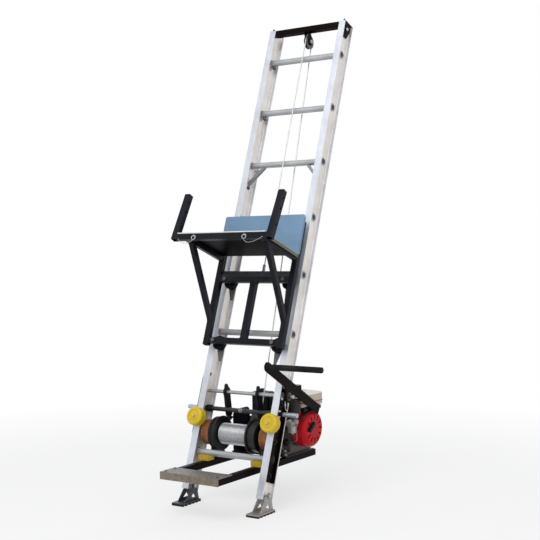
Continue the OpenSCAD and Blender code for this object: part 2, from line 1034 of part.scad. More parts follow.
module back_rope()
    color(steel)
        on_ladder()
            tube_through(fall_rings, fall_sides);

// One ring of the winding's tube, square to the winding: turn is in degrees, straight is a run off the end
function wind_ring(turn, straight) =
    let (angle = turn + fall_turn - lean, x = wind_start + wind_pitch * (turn / full_turn + rope_turns))
    [for (side = [0 : wind_sides - 1])
        let (spin = full_turn * side / wind_sides, out = wind_r + rope_r * cos(spin))
        [x + rope_r * sin(spin),
         out * cos(angle) - straight * sin(angle),
         out * sin(angle) + straight * cos(angle)]];

wind_rings = concat(
    [wind_ring(-full_turn * rope_turns, -rope_diameter)],
    [for (step = [-wind_steps * rope_turns : 0]) wind_ring(full_turn * step / wind_steps, 0)],
    [wind_ring(0, rope_diameter)]);
wind_gap = min([for (side = [0 : wind_sides - 1], other = [0 : wind_sides - 1])
    norm(wind_rings[1][side] - wind_rings[1 + wind_steps][other])]);
echo(least_gap_between_turns = wind_gap);

module tube_through(rings, sides) {
    count = len(rings);
    walls = [for (ring = [0 : count - 2], side = [0 : sides - 1])
        let (a = ring * sides + side, b = ring * sides + (side + 1) % sides)
        each [[a, b, b + sides], [a, b + sides, a + sides]]];
    first = [for (side = [1 : sides - 2]) [0, side + 1, side]];
    last_ring = (count - 1) * sides;
    last = [for (side = [1 : sides - 2]) [last_ring, last_ring + side, last_ring + side + 1]];
    polyhedron([for (ring = rings) each ring], concat(walls, first, last));
}

module rope_winding()
    color(steel)
        translate([0, drum_y, drum_z])
            tube_through(wind_rings, wind_sides);

// Drum and its drive
module on_drum()
    translate([0, drum_y, drum_z])
        children();

module revolve_x(x)
    translate([x, 0, 0])
        rotate([0, 90, 0])
            rotate_extrude()
                children();

module drum()
    color(black_paint)
        on_drum()
            union() {
                revolve_x(drum_x)
                    drum_profile();
                rotate([fall_turn - lean, 0, 0])
                    translate([wind_start - clamp_left, clamp_floor, -rope_diameter - fit_gap - clamp_length])
                        cube([clamp_left + clamp_right, wind_r + rope_r - clamp_floor, clamp_length]);
            }

module drum_profile() {
    bore = drum_shaft_diameter / 2 + fit_gap;
    translate([bore, -drum_length / 2])
        square([drum_core / 2 - bore, drum_length]);
    translate([bore, drum_length / 2 + flange_plate - overrun])
        square([band_diameter / 2 - bore, band_width + overrun]);
    for (end = [0, 1])
        mirror([0, end])
            translate([0, drum_length / 2]) {
                translate([bore, 0])
                    square([drum_flange / 2 - bore, flange_plate]);
                translate([drum_flange / 2 - drum_flange_bead, flange_plate / 2])
                    circle(flange_plate * bead_share);
            }
}

module drum_shaft()
    color(zinc)
        on_drum()
            pin_x(drum_shaft_diameter, 2 * (disc_in + disc_width + shaft_end));

module pulley_profile(radius, bore) {
    groove = belt_width + 2 * run_gap;
    floor_r = radius - belt_thickness - run_gap;
    difference() {
        translate([bore, -pulley_width / 2])
            square([radius - bore, pulley_width]);
        translate([floor_r, -groove / 2])
            square([radius, groove]);
        for (face = [0, 1])
            mirror([0, face])
                translate([bore + groove_floor, pulley_width / 2 - pulley_gap])
                    square([max(floor_r - groove_floor * 2 - bore, pulley_gap), pulley_width]);
    }
}

module drum_pulley()
    color(black_paint)
        on_drum()
            revolve_x(pulley_x)
                pulley_profile(pulley_r, drum_shaft_diameter / 2 + fit_gap);

module friction_discs() {
    recess = disc_diameter / 2 - drum_shaft_diameter - disc_lining;
    color(brown)
        on_drum()
            for (side = [-1, 1])
                revolve_x(side * (disc_in + disc_width / 2))
                    difference() {
                        translate([drum_shaft_diameter / 2 + fit_gap, -disc_width / 2])
                            square([disc_diameter / 2 - drum_shaft_diameter / 2 - fit_gap, disc_width]);
                        for (face = [0, 1])
                            mirror([0, face])
                                translate([drum_shaft_diameter, disc_width * (1 / 2 - disc_recess_share)])
                                    square([recess, disc_width]);
                    }
}

module stand_profile() {
    foot = arm_top - drum_z;
    difference() {
        union() {
            circle(stand_head);
            polygon([[-stand_foot_front, foot], [stand_foot_back, foot], [stand_head, 0], [-stand_head, 0]]);
        }
        circle(d = drum_shaft_diameter + 2 * stand_bore_gap);
    }
}

module bearing_stands()
    color(black_paint)
        on_drum()
            for (side = [-1, 1])
                translate([side * stand_x, 0, 0])
                    along_x(stand_thickness)
                        stand_profile();

// Base
module base_arms()
    color(black_paint)
        for (side = [-1, 1])
            translate([side * arm_x, -arm_front, arm_bottom + arm_tube / 2])
                rotate([-90, 0, 0])
                    linear_extrude(arm_front + arm_back)
                        tube_profile(arm_tube, arm_wall);

module tread_plate()
    color(steel)
        translate([0, -arm_front, arm_top])
            union() {
                translate([-tread_half, -tread_plate_thickness, 0])
                    cube([2 * tread_half, tread_depth, tread_plate_thickness]);
                translate([-tread_half, -tread_plate_thickness, tread_plate_thickness - tread_lip])
                    cube([2 * tread_half, tread_plate_thickness, tread_lip]);
            }

module rung_saddles()
    color(yellow)
        for (side = [-1, 1])
            translate([side * saddle_x, 0, arm_top])
                difference() {
                    translate([-saddle_width / 2, -saddle_front, 0])
                        cube([saddle_width, saddle_front + saddle_back, saddle_height]);
                    translate([0, 0, rung_height - arm_top])
                        pin_x(rung_diameter + 2 * fit_gap, saddle_width + 2 * overrun);
                }

module uprights() {
    half = rail_depth / 2 - flange_thickness - upright_margin;
    length = upright_top - upright_bottom;
    passing = shaft_diameter + bar_diameter;
    color(black_paint)
        on_ladder()
            for (side = [-1, 1])
                translate([side * (web_outer + upright_thickness / 2), 0, upright_bottom])
                    difference() {
                        translate([-upright_thickness / 2, -half, 0])
                            cube([upright_thickness, 2 * half, length]);
                        translate([side * upright_lip, -half + upright_lip, -overrun])
                            translate([-upright_thickness / 2, 0, 0])
                                cube([upright_thickness, 2 * (half - upright_lip), length + 2 * overrun]);
                        for (up = [0, shaft_up, bar_up])
                            translate([0, 0, up - upright_bottom])
                                pin_x(up == 0 ? collar_hole : passing, 2 * upright_thickness);
                    }
}

module carry_bar()
    color(black_paint)
        on_ladder()
            translate([0, 0, bar_up])
                pin_x(bar_diameter, bar_length);

module bumper_profile() {
    rim = bumper_diameter / 2 - bumper_round;
    difference() {
        union() {
            square([bumper_diameter / 2, bumper_depth - bumper_round]);
            square([rim, bumper_depth]);
            translate([rim, bumper_depth - bumper_round])
                circle(bumper_round);
        }
        translate([bumper_nose, bumper_depth])
            circle(bumper_groove);
        translate([bumper_diameter / 2, bumper_step])
            circle(bumper_groove);
    }
}

module bumpers()
    color(yellow)
        on_ladder()
            for (side = [-1, 1])
                translate([side * rail_x, -rail_depth / 2, bumper_up])
                    rotate([90, 0, 0])
                        union() {
                            rotate_extrude()
                                bumper_profile();
                            translate([0, 0, -flange_thickness])
                                cylinder(d = bumper_bolt, h = flange_thickness + bumper_bolt);
                            translate([0, 0, bumper_depth])
                                cylinder(d = bumper_bolt * bolt_head_share, h = bumper_head, $fn = 6);
                        }

// Control lever
module on_shaft()
    translate([0, shaft_up * sin(lean), rung_height + shaft_up * cos(lean)])
        children();

module lever_shaft() {
    length = shaft_left_end + lever_x + lever_thickness + shaft_overhang;
    color(zinc)
        on_shaft()
            rotate([0, 90, 0])
                translate([0, 0, -shaft_left_end])
                    cylinder(d = shaft_diameter, h = length);
}

module lever_profile() {
    front = [-handle_reach, handle_rise];
    tail = [tail_reach, -tail_drop];
    along = (tail - front) / norm(tail - front);
    across = [-along.y, along.x];
    foot = across * (front * across);
    tip = lever_width / 2;
    tail_end = tail + along * tip;
    flank = tip - tangent_gap;
    difference() {
        union() {
            translate(front)
                circle(tip);
            polygon([
                front - across * flank,
                tail_end - across * flank,
                tail_end + across * flank,
                front + across * flank]);
            circle(lever_hub);
            polygon([-along * lug_neck, along * lug_neck, foot + along * lug_root, foot - along * lug_root]);
        }
        circle(d = shaft_diameter + 2 * fit_gap);
        translate(tail)
            circle(d = shaft_diameter / 2);
    }
}

module lever()
    color(black_paint)
        on_shaft()
            translate([lever_x + lever_thickness / 2, 0, 0])
                along_x(lever_thickness)
                    lever_profile();

module handle_grip()
    color(rubber)
        on_shaft()
            translate([lever_x + lever_thickness, -handle_reach, handle_rise])
                rotate([0, 90, 0])
                    rotate_extrude()
                        union() {
                            square([grip_diameter / 2 - grip_end, handle_length]);
                            translate([0, grip_end])
                                square([grip_diameter / 2, handle_length - 2 * grip_end]);
                            for (along = [grip_end, handle_length - grip_end])
                                translate([grip_diameter / 2 - grip_end, along])
                                    circle(grip_end);
                        }

module brake_profile() {
    shaft = [shaft_up * sin(lean) - drum_y, rung_height + shaft_up * cos(lean) - drum_z];
    inner = drum_flange / 2 - drum_flange_bead + flange_plate * bead_share + shoe_gap;
    middle = (inner + shoe_depth) * [cos(shoe_angle), sin(shoe_angle)];
    arm = shaft - middle;
    sideways = [-arm.y, arm.x] / norm(arm) * brake_arm_width / 2;
    ear = shaft + arm / norm(arm) * brake_ear;
    ear_side = [-arm.y, arm.x] / norm(arm) * (brake_ear_tip - tangent_gap);
    difference() {
        union() {
            translate(shaft)
                circle(brake_head);
            translate(ear)
                circle(brake_ear_tip);
            polygon([shaft + sideways, ear + ear_side, ear - ear_side, shaft - sideways]);
            polygon([middle + sideways, shaft + sideways, shaft - sideways, middle - sideways]);
            intersection() {
                circle(inner + 2 * shoe_depth);
                polygon([
                    [0, 0],
                    2 * drum_flange * [cos(shoe_angle - shoe_span / 2), sin(shoe_angle - shoe_span / 2)],
                    2 * drum_flange * [cos(shoe_angle + shoe_span / 2), sin(shoe_angle + shoe_span / 2)]]);
            }
        }
        circle(inner);
        translate(shaft)
            circle(d = shaft_diameter + 2 * fit_gap);
    }
}

module brake_arms()
    color(black_paint)
        on_drum()
            for (x = brake_x)
                translate([x, 0, 0])
                    along_x(brake_arm_thickness)
                        brake_profile();

// Engine
module on_crank()
    translate([0, crank_y, crank_z])
        children();

module soft_box(width, depth, height, corner)
    intersection() {
        linear_extrude(height, center = true)
            rounded_square(width, depth, corner);
        rotate([90, 0, 0])
            linear_extrude(depth + 2 * overrun, center = true)
                rounded_square(width + box_ease, height, corner * edge_share);
        along_x(width + 2 * overrun)
            rounded_square(depth + box_ease, height, corner * end_share);
    }

module engine_plate()
    color(black_paint)
        translate([-arm_x - arm_tube / 2, engine_plate_front, arm_top])
            cube([2 * arm_x + arm_tube, engine_plate_back - engine_plate_front, plate_thickness]);

module belt_guard() {
    depth = guard_back - guard_front;
    foot_front = engine_plate_front;
    color(black_paint)
        translate([pulley_x + belt_width / 2 + guard_gap, 0, engine_z])
            union() {
                translate([guard_thickness / 2, guard_front + depth / 2, guard_height / 2])
                    along_x(guard_thickness)
                        rounded_square(depth, guard_height, guard_corner);
                translate([0, foot_front, 0])
                    cube([guard_thickness, guard_back - guard_corner - foot_front, guard_corner]);
                translate([0, foot_front, 0])
                    cube([guard_foot, guard_back - guard_corner - foot_front, guard_thickness]);
            }
}

module crankcase()
    color([0.35, 0.35, 0.36])
        on_crank()
            difference() {
                union() {
                    translate([(case_left + case_right) / 2, 0, 0])
                        along_x(case_right - case_left)
                            union() {
                                circle(case_radius);
                                translate([-case_radius, -crank_rise + case_foot_height])
                                    square([2 * case_radius, crank_rise - case_foot_height]);
                                translate([-case_foot, -crank_rise])
                                    square([2 * case_foot, case_foot_height]);
                                translate([-case_radius / 2, 0])
                                    square([case_radius, tank_rise]);
                            }
                    translate([(gear_left + case_right) / 2, 0, 0])
                        along_x(case_right - gear_left)
                            union() {
                                circle(gear_radius);
                                translate([-gear_radius, -crank_rise])
                                    square([2 * gear_radius, crank_rise]);
                            }
                }
                pin_x(engine_shaft_diameter + 2 * shaft_clearance, 2 * recoil_face);
            }

module cylinder_fins() {
    pitch = (cylinder_length - case_radius) / fin_count;
    for (fin = [0 : fin_count - 1])
        translate([0, 0, case_radius + (fin + 0.5) * pitch])
            difference() {
                cube([2 * cylinder_size, 2 * cylinder_size, pitch * fin_gap_share], center = true);
                cube([cylinder_size - 2 * fin_depth, cylinder_size - 2 * fin_depth, pitch], center = true);
            }
}

module cylinder_block()
    color([0.5, 0.5, 0.51])
        on_crank()
            translate([(case_left + case_right) / 2, 0, 0])
                difference() {
                    rotate([90 - cylinder_tilt, 0, 0])
                        difference() {
                            translate([0, 0, cylinder_length / 2])
                                cube([cylinder_size, cylinder_size, cylinder_length], center = true);
                            cylinder_fins();
                        }
                    along_x(2 * recoil_face)
                        union() {
                            circle(case_radius + fit_gap);
                            translate([-case_radius - fit_gap, -2 * crank_rise])
                                square([2 * (case_radius + fit_gap), 2 * crank_rise]);
                            translate([-case_radius / 2 - fit_gap, 0])
                                square([case_radius + 2 * fit_gap, 2 * tank_rise]);
                        }
                }

module air_cleaner()
    color(rubber)
        on_crank()
            translate([filter_x, box_y - filter_depth / 2, filter_rise + filter_height / 2])
                soft_box(filter_width, filter_depth, filter_height, box_corner);

module muffler()
    color([0.25, 0.25, 0.26])
        on_crank()
            translate([muffler_x, box_y - muffler_depth / 2, filter_rise + muffler_height / 2])
                difference() {
                    soft_box(muffler_width, muffler_depth, muffler_height, box_corner);
                    for (row = [1 : louvre_count])
                        translate([0, -muffler_depth / 2, (row / (louvre_count + 1) - 0.5) * muffler_height])
                            cube([louvre_length, 2 * louvre_depth, louvre_height], center = true);
                }

module fan_outline() {
    circle(d = fan_diameter);
    translate([-fan_diameter / 2, 0])
        square([fan_diameter / 2, fan_diameter / 2 - fan_corner]);
    translate([-fan_diameter / 2 + fan_corner, 0])
        square([fan_diameter / 2 - fan_corner, fan_diameter / 2]);
    translate([-fan_diameter / 2 + fan_corner, fan_diameter / 2 - fan_corner])
        circle(fan_corner);
}

module fan_housing()
    color(red)
        on_crank()
            difference() {
                union() {
                    translate([fan_x + fan_depth / 2, 0, 0])
                        along_x(fan_depth)
                            fan_outline();
                    translate([fan_x + fan_depth, 0, 0])
                        rotate([0, 90, 0])
                            rotate_extrude()
                                union() {
                                    depth = recoil_face - fan_x - fan_depth;
                                    square([fan_diameter / 2 - recoil_drop, depth]);
                                    square([fan_diameter / 2, depth - recoil_drop]);
                                    translate([fan_diameter / 2 - recoil_drop, depth - recoil_drop])
                                        circle(recoil_drop);
                                }
                }
                translate([fan_x - overrun, 0, 0])
                    rotate([0, 90, 0])
                        cylinder(d = fan_diameter - 2 * fan_corner, h = fan_depth - fan_corner + overrun);
                for (vent = [0 : vent_count - 1])
                    rotate([full_turn * vent / vent_count, 0, 0])
                        translate([recoil_face, vent_radius, 0])
                            cube([recoil_drop, vent_length, vent_width], center = true);
                translate([0, starter_y, starter_z])
                    pin_x(starter_cord + 2 * starter_gap, 2 * recoil_face + 2 * overrun);
            }

// The starter's grip, with the stretch of its cord that lies inside the housing
module starter_grip()
    color(rubber)
        on_crank()
            translate([recoil_face + starter_gap, starter_y, starter_z])
                union() {
                    translate([grip_width / 2, 0, 0])
                        rotate([starter_tilt, 0, 0])
                            soft_box(grip_width, grip_length, grip_width, grip_width * grip_corner_share);
                    translate([-starter_cord_length, 0, 0])
                        rotate([0, 90, 0])
                            cylinder(d = starter_cord, h = starter_cord_length + overrun);
                }

// A crowned tank: each crown is an arc that drops by tank_crown at the tank's edges
module crown_profile(width) {
    crown_r = (width * width / 4 + tank_crown * tank_crown) / (2 * tank_crown);
    translate([0, tank_height / 2 - crown_r])
        circle(crown_r);
}

module fuel_tank()
    color(cream)
        on_crank()
            translate([tank_x, 0, tank_rise + tank_height / 2])
                difference() {
                    intersection() {
                        soft_box(tank_width, tank_depth, tank_height, tank_corner);
                        rotate([90, 0, 0])
                            linear_extrude(2 * tank_depth, center = true)
                                crown_profile(tank_width);
                        along_x(2 * tank_width)
                            crown_profile(tank_depth);
                    }
                    translate([-cap_shift, 0, tank_height / 2 - cap_seat])
                        cylinder(d = cap_diameter + 2 * run_gap, h = tank_height);
                }

module fuel_cap()
    color(rubber)
        on_crank()
            translate([tank_x - cap_shift, 0, tank_rise + tank_height - cap_seat + cap_gap])
                difference() {
                    cylinder(d = cap_diameter, h = cap_height);
                    for (rib = [0 : cap_ribs - 1])
                        rotate([0, 0, full_turn * rib / cap_ribs])
                            translate([cap_diameter / 2 + cap_rib_out, 0, -overrun])
                                cylinder(d = cap_rib, h = cap_height + 2 * overrun);
                }

module engine_pulley()
    color(steel)
        on_crank()
            union() {
                revolve_x(pulley_x)
                    pulley_profile(engine_pulley_r, 0);
                revolve_x(0)
                    translate([0, pulley_x])
                        square([engine_shaft_diameter / 2, case_right - pulley_x]);
            }

module belt_outline(grow) {
    wheel_gap = [crank_y - drum_y, crank_z - drum_z];
    big = pulley_r - belt_thickness + grow;
    small = engine_pulley_r - belt_thickness + grow;
    slope = atan2(wheel_gap.y, wheel_gap.x);
    lift = acos((big - small) / norm(wheel_gap));
    upper = [cos(slope + lift), sin(slope + lift)];
    lower = [cos(slope - lift), sin(slope - lift)];
    circle(big);
    translate(wheel_gap)
        circle(small);
    polygon([
        (big - tangent_gap) * lower,
        wheel_gap + (small - tangent_gap) * lower,
        wheel_gap + (small - tangent_gap) * upper,
        (big - tangent_gap) * upper]);
}

module drive_belt()
    color(rubber)
        on_drum()
            translate([pulley_x, 0, 0])
                along_x(belt_width)
                    difference() {
                        belt_outline(belt_thickness);
                        belt_outline(0);
                    }

rail(-1);  // left_rail
rail(1);  // right_rail
rungs();
knee_braces();
shoe(-1);  // left_shoe
shoe(1);  // right_shoe
sole(-1);  // left_sole
sole(1);  // right_sole
head_beam();
head_plates();
sheave();
pivot_bolts();
side_tubes();
upper_crossbeam();
lower_crossbeam();
centre_bar();
braces();
front_beam();
side_beams();
deck();
back_plate();
posts();
post_pins();
wheel(-1, carriage_up + crossbeam_rise);  // wheel_upper_left
wheel(1, carriage_up + crossbeam_rise);  // wheel_upper_right
wheel(-1, carriage_up);  // wheel_lower_left
wheel(1, carriage_up);  // wheel_lower_right
wheel_tabs();
wheel_bolts();
rope_anchor();
front_rope();
back_rope();
rope_winding();
drum();
drum_shaft();
drum_pulley();
friction_discs();
bearing_stands();
base_arms();
tread_plate();
rung_saddles();
uprights();
carry_bar();
bumpers();
lever_shaft();
lever();
handle_grip();
brake_arms();
engine_plate();
belt_guard();
crankcase();
cylinder_block();  // cylinder
air_cleaner();
muffler();
fan_housing();
starter_grip();
fuel_tank();
fuel_cap();
engine_pulley();
drive_belt();
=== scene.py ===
"""Looks of the leaning ladder hoist: camera, light, finishes, wire ropes and small surface pieces."""
import json
import math

import bmesh
import bpy
from mathutils import Matrix, Vector


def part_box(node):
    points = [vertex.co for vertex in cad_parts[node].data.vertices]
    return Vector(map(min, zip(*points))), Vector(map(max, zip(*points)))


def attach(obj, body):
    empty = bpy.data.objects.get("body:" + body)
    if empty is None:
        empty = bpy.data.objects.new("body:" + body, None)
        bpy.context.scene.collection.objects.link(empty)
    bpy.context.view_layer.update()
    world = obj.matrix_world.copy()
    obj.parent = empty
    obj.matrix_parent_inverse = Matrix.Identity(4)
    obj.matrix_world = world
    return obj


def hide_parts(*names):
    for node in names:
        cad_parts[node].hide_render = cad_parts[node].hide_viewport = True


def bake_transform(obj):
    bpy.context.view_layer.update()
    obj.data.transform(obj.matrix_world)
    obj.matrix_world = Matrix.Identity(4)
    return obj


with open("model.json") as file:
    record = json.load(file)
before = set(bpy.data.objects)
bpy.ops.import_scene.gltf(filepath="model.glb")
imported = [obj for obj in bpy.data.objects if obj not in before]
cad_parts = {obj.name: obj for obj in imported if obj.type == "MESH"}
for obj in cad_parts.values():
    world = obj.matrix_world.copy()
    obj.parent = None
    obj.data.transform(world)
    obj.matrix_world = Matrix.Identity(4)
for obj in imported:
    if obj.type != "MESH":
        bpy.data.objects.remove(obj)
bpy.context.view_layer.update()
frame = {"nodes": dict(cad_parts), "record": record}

# Sizes of the solids that the ropes follow, in metres and radians
LEAN = math.radians(19.5)
RUNG_HEIGHT = 0.240
SHEAVE_UP = 2.240
SHEAVE_RADIUS = 0.030
ROPE_RADIUS = 0.0032
ROPE_FOOT_UP = 0.959
DRUM_AXIS = Vector((0.0, 0.060, 0.329))
WIND_RADIUS = 0.0487
WIND_START = -0.0978
WIND_END = 0.0662
WIND_TURNS = 24
FALL_X = 0.0738
FALL_WRAP = math.radians(300.0)

# Camera, as fitted to the photograph's frame of 540 by 540 pixels
CAMERA_PLACE = (2.84543, -4.01831, 1.19928)
CAMERA_TURN = (89.204, 0.5972, 33.1258)
CAMERA_LENS = 68.21
SENSOR = 36.0

scene = bpy.context.scene
camera_data = bpy.data.cameras.new("photo_camera")
camera_data.lens = CAMERA_LENS
camera_data.sensor_width = SENSOR
camera_data.sensor_fit = "HORIZONTAL"
camera = bpy.data.objects.new("photo_camera", camera_data)
camera.location = CAMERA_PLACE
camera.rotation_euler = [math.radians(angle) for angle in CAMERA_TURN]
scene.collection.objects.link(camera)
scene.camera = camera
scene.view_settings.view_transform = "Standard"


def on_ladder(x, y, z):
    """A point of the ladder's own frame, x across, y behind the rails and z up them, in the shared frame."""
    return Vector((
        x,
        y * math.cos(LEAN) + z * math.sin(LEAN),
        RUNG_HEIGHT - y * math.sin(LEAN) + z * math.cos(LEAN)))


def in_frame(x, y, z):
    """A point of the shared frame itself."""
    return Vector((x, y, z))


SIDES = (-1, 1)
ACROSS = Vector((1.0, 0.0, 0.0))
BACK = on_ladder(0.0, 1.0, 0.0) - on_ladder(0.0, 0.0, 0.0)
UP_RAILS = on_ladder(0.0, 0.0, 1.0) - on_ladder(0.0, 0.0, 0.0)
UP = Vector((0.0, 0.0, 1.0))
TO_LADDER = (LEAN, 0.0, 0.0)
WHITE = (1.0, 1.0, 1.0)


class Finish:
    """A procedural material: a Principled shader with noise for its colour, gloss and relief."""

    def __init__(self, name, **sockets):
        self.material = bpy.data.materials.new(name)
        self.material.use_nodes = True
        self.nodes = self.material.node_tree.nodes
        self.links = self.material.node_tree.links
        self.shader = self.nodes["Principled BSDF"]
        for socket, value in sockets.items():
            self.shader.inputs[socket.replace("_", " ")].default_value = value
        self.place = self.add("ShaderNodeTexCoord").outputs["Object"]

    def put(self, value, socket):
        """Another node's output, or a plain number or colour, into the socket."""
        if isinstance(value, bpy.types.NodeSocket):
            self.links.new(value, socket)
        else:
            socket.default_value = value

    def add(self, kind, inputs=None, **settings):
        node = self.nodes.new(kind)
        for key, value in settings.items():
            setattr(node, key, value)
        for socket, value in (inputs or {}).items():
            self.put(value, node.inputs[socket])
        return node

    def stretched(self, scale, turn=(0.0, 0.0, 0.0)):
        """The object's coordinates turned, then scaled apart along each axis."""
        node = self.add("ShaderNodeMapping", {"Vector": self.place, "Rotation": turn, "Scale": scale})
        return node.outputs["Vector"]

    def noise(self, scale, detail=4.0, roughness=0.55, vector=None):
        node = self.add("ShaderNodeTexNoise", {
            "Vector": vector or self.place, "Scale": scale, "Detail": detail, "Roughness": roughness})
        return node.outputs["Fac"]

    def cells(self, scale):
        return self.add("ShaderNodeTexVoronoi", {"Vector": self.place, "Scale": scale}).outputs["Color"]

    def waves(self, scale, direction, vector):
        """Straight ridges across one axis of the coordinates."""
        node = self.add("ShaderNodeTexWave", {"Vector": vector, "Scale": scale}, bands_direction=direction)
        return node.outputs["Fac"]

    def rise(self, axis):
        """How far the surface looks along that axis, from -1 to 1."""
        flat = self.add("ShaderNodeNewGeometry").outputs["Normal"]
        return self.add("ShaderNodeVectorMath", {0: flat, 1: axis}, operation="DOT_PRODUCT").outputs["Value"]

    def facing(self, axis):
        """How far the surface faces along that axis, to either side, from 0 to 1."""
        return self.sums("ABSOLUTE", self.rise(axis), 0.0)

    def edges(self, radius):
        """1 on the solid's outer and inner edges, 0 on its open faces."""
        rounded = self.add("ShaderNodeBevel", {"Radius": radius}, samples=4).outputs["Normal"]
        return self.span(self.rise(rounded), low=1.0, high=0.0, start=0.70, stop=0.97)

    def along(self, axis):
        """The object's own coordinate along X, Y or Z."""
        return self.add("ShaderNodeSeparateXYZ", {"Vector": self.place}).outputs[axis]

    def ramp(self, value, stops):
        """A colour for each place on the way from 0 to 1: stops is a list of (place, colour)."""
        node = self.add("ShaderNodeValToRGB", {"Fac": value})
        ramp = node.color_ramp
        while len(ramp.elements) < len(stops):
            ramp.elements.new(1.0)
        for element, (place, colour) in zip(ramp.elements, stops):
            element.position = place
            element.color = (*colour, 1.0)
        return node.outputs["Color"]

    def mix(self, share, first, second, mode="MIX"):
        node = self.add("ShaderNodeMix", data_type="RGBA", blend_type=mode)
        for name, value in (("Factor", share), ("A", first), ("B", second)):
            self.put(value, [i for i in node.inputs if i.name == name and i.enabled][0])
        return [o for o in node.outputs if o.enabled][0]

    def times(self, first, second):
        """One colour multiplied by the other."""
        return self.mix(1.0, first, second, "MULTIPLY")

    def sums(self, kind, first, second):
        return self.add("ShaderNodeMath", {0: first, 1: second}, operation=kind).outputs["Value"]

    def span(self, value, low=0.0, high=1.0, start=0.0, stop=1.0):
        """A value from start to stop spread from low to high."""
        node = self.add("ShaderNodeMapRange", {
            "Value": value, "From Min": start, "From Max": stop, "To Min": low, "To Max": high})
        return node.outputs["Result"]

    def coat(self, film, colour, dim, dust):
        """Paint, dim where the film of dirt is thin and dusty where it is thick."""
        return self.ramp(film, [(0.35, shade(colour, dim)), (0.7, dusted(colour, dust))])

    def colour(self, value):
        self.links.new(value, self.shader.inputs["Base Color"])

    def gloss(self, value, low, high):
        """Roughness from low to high as the value goes from 0 to 1."""
        self.links.new(self.span(value, low, high), self.shader.inputs["Roughness"])

    def metal(self, where, share):
        """That share of metal where the value is 1."""
        self.links.new(self.sums("MULTIPLY", where, share), self.shader.inputs["Metallic"])

    def relief(self, height, depth, strength):
        node = self.add("ShaderNodeBump", {"Strength": strength, "Distance": depth, "Height": height})
        self.links.new(node.outputs["Normal"], self.shader.inputs["Normal"])

    def peel(self):
        """The fine orange peel of sprayed enamel."""
        self.relief(self.noise(scale=420.0, detail=2.0), depth=0.00025, strength=0.18)


def shade(colour, factor):
    """The colour times the factor, with no channel above 1."""
    return tuple(min(1.0, channel * factor) for channel in colour)


def dusted(colour, dust):
    """The colour with that much grey added."""
    return tuple(channel + dust for channel in colour)


def full(colour):
    return (*colour, 1.0)


def extruded_aluminium(name, colour, side_shading_colour, stretch, metallic=0.6):
    """Mill finish, with draw lines along the length and dull patches; the side faces take a second colour,
    painted light and shade for the way they face.
    """
    finish = Finish(name, Metallic=metallic)
    lines = finish.noise(scale=60.0, detail=6.0, roughness=0.7, vector=finish.stretched(stretch, TO_LADDER))
    patches = finish.noise(scale=5.0, roughness=0.6)
    # painted light and shade: faces that look across get the side colour, the rest the main colour
    tone = finish.mix(finish.facing(ACROSS), full(colour), full(side_shading_colour))
    streaks = finish.ramp(lines, [(0.3, (0.86, 0.86, 0.86)), (0.7, WHITE)])
    stain = finish.ramp(patches, [(0.35, (0.84, 0.84, 0.83)), (0.62, WHITE)])
    finish.colour(finish.times(finish.times(tone, streaks), stain))
    finish.gloss(lines, low=0.34, high=0.52)
    finish.relief(lines, depth=0.0002, strength=0.25)
    return finish.material


def ribbed_aluminium(name, colour):
    """Rung extrusion: fine tread ribs along it, darker in the grooves between them, and stained in streaks."""
    finish = Finish(name, Metallic=0.55)
    ribs = finish.waves(scale=75.0, direction="Z", vector=finish.stretched((0.0, 1.0, 1.0), TO_LADDER))
    dirt = finish.noise(scale=30.0, detail=5.0, roughness=0.6, vector=finish.stretched((0.3, 1.0, 1.0)))
    # darker in the grooves between the ribs
    base = finish.ramp(ribs, [(0.25, shade(colour, 0.72)), (0.6, colour)])
    stain = finish.ramp(dirt, [(0.35, (0.80, 0.79, 0.78)), (0.65, WHITE)])
    finish.colour(finish.times(base, stain))
    finish.gloss(dirt, low=0.36, high=0.55)
    finish.relief(ribs, depth=0.0008, strength=0.5)
    return finish.material


def gloss_paint(name, colour, dust, roughness, worn=(0.13, 0.125, 0.12), level=0.35):
    """Sprayed enamel: orange peel, a film of dust, scuffs, and bare metal along the edges."""
    finish = Finish(name, Specular_IOR_Level=level)
    film = finish.noise(scale=7.0, detail=5.0, roughness=0.6)
    scuffs = finish.noise(scale=150.0, detail=8.0, roughness=0.75, vector=finish.stretched((1.0, 1.0, 0.25)))
    scraped = finish.span(scuffs, start=0.46, stop=0.60)
    chips = finish.sums("MULTIPLY", finish.edges(radius=0.0022), scraped)
    specks = finish.span(scuffs, low=0.0, high=0.6, start=0.72, stop=0.78)
    base = finish.coat(film, colour, dim=0.86, dust=dust)
    speckled = finish.mix(specks, base, full(dusted(shade(colour, 0.7), 0.04)))
    finish.colour(finish.mix(chips, speckled, full(worn)))
    finish.gloss(film, low=roughness - 0.06, high=roughness + 0.14)
    finish.peel()
    return finish.material


def zinc_plate(name, colour, metallic=0.6):
    """Galvanised steel with its spangle and a dull bloom."""
    finish = Finish(name, Metallic=metallic)
    tone = finish.ramp(finish.cells(scale=160.0), [(0.1, shade(colour, 0.82)), (0.9, shade(colour, 1.12))])
    bloom = finish.noise(scale=24.0)
    finish.colour(finish.mix(finish.span(bloom, low=0.0, high=0.5), tone, full(shade(colour, 0.6))))
    finish.gloss(bloom, low=0.32, high=0.55)
    finish.relief(bloom, depth=0.0003, strength=0.2)
    return finish.material


def moulded_rubber(name, colour, roughness, grain):
    """Rubber or moulded plastic with a fine grain and grey dust in it."""
    finish = Finish(name, Specular_IOR_Level=0.09)
    dust = finish.noise(scale=14.0, detail=5.0)
    finish.colour(finish.ramp(dust, [(0.4, colour), (0.75, dusted(colour, 0.018))]))
    finish.gloss(dust, low=roughness - 0.08, high=roughness + 0.1)
    finish.relief(finish.noise(scale=grain, detail=3.0), depth=0.0004, strength=0.3)
    return finish.material


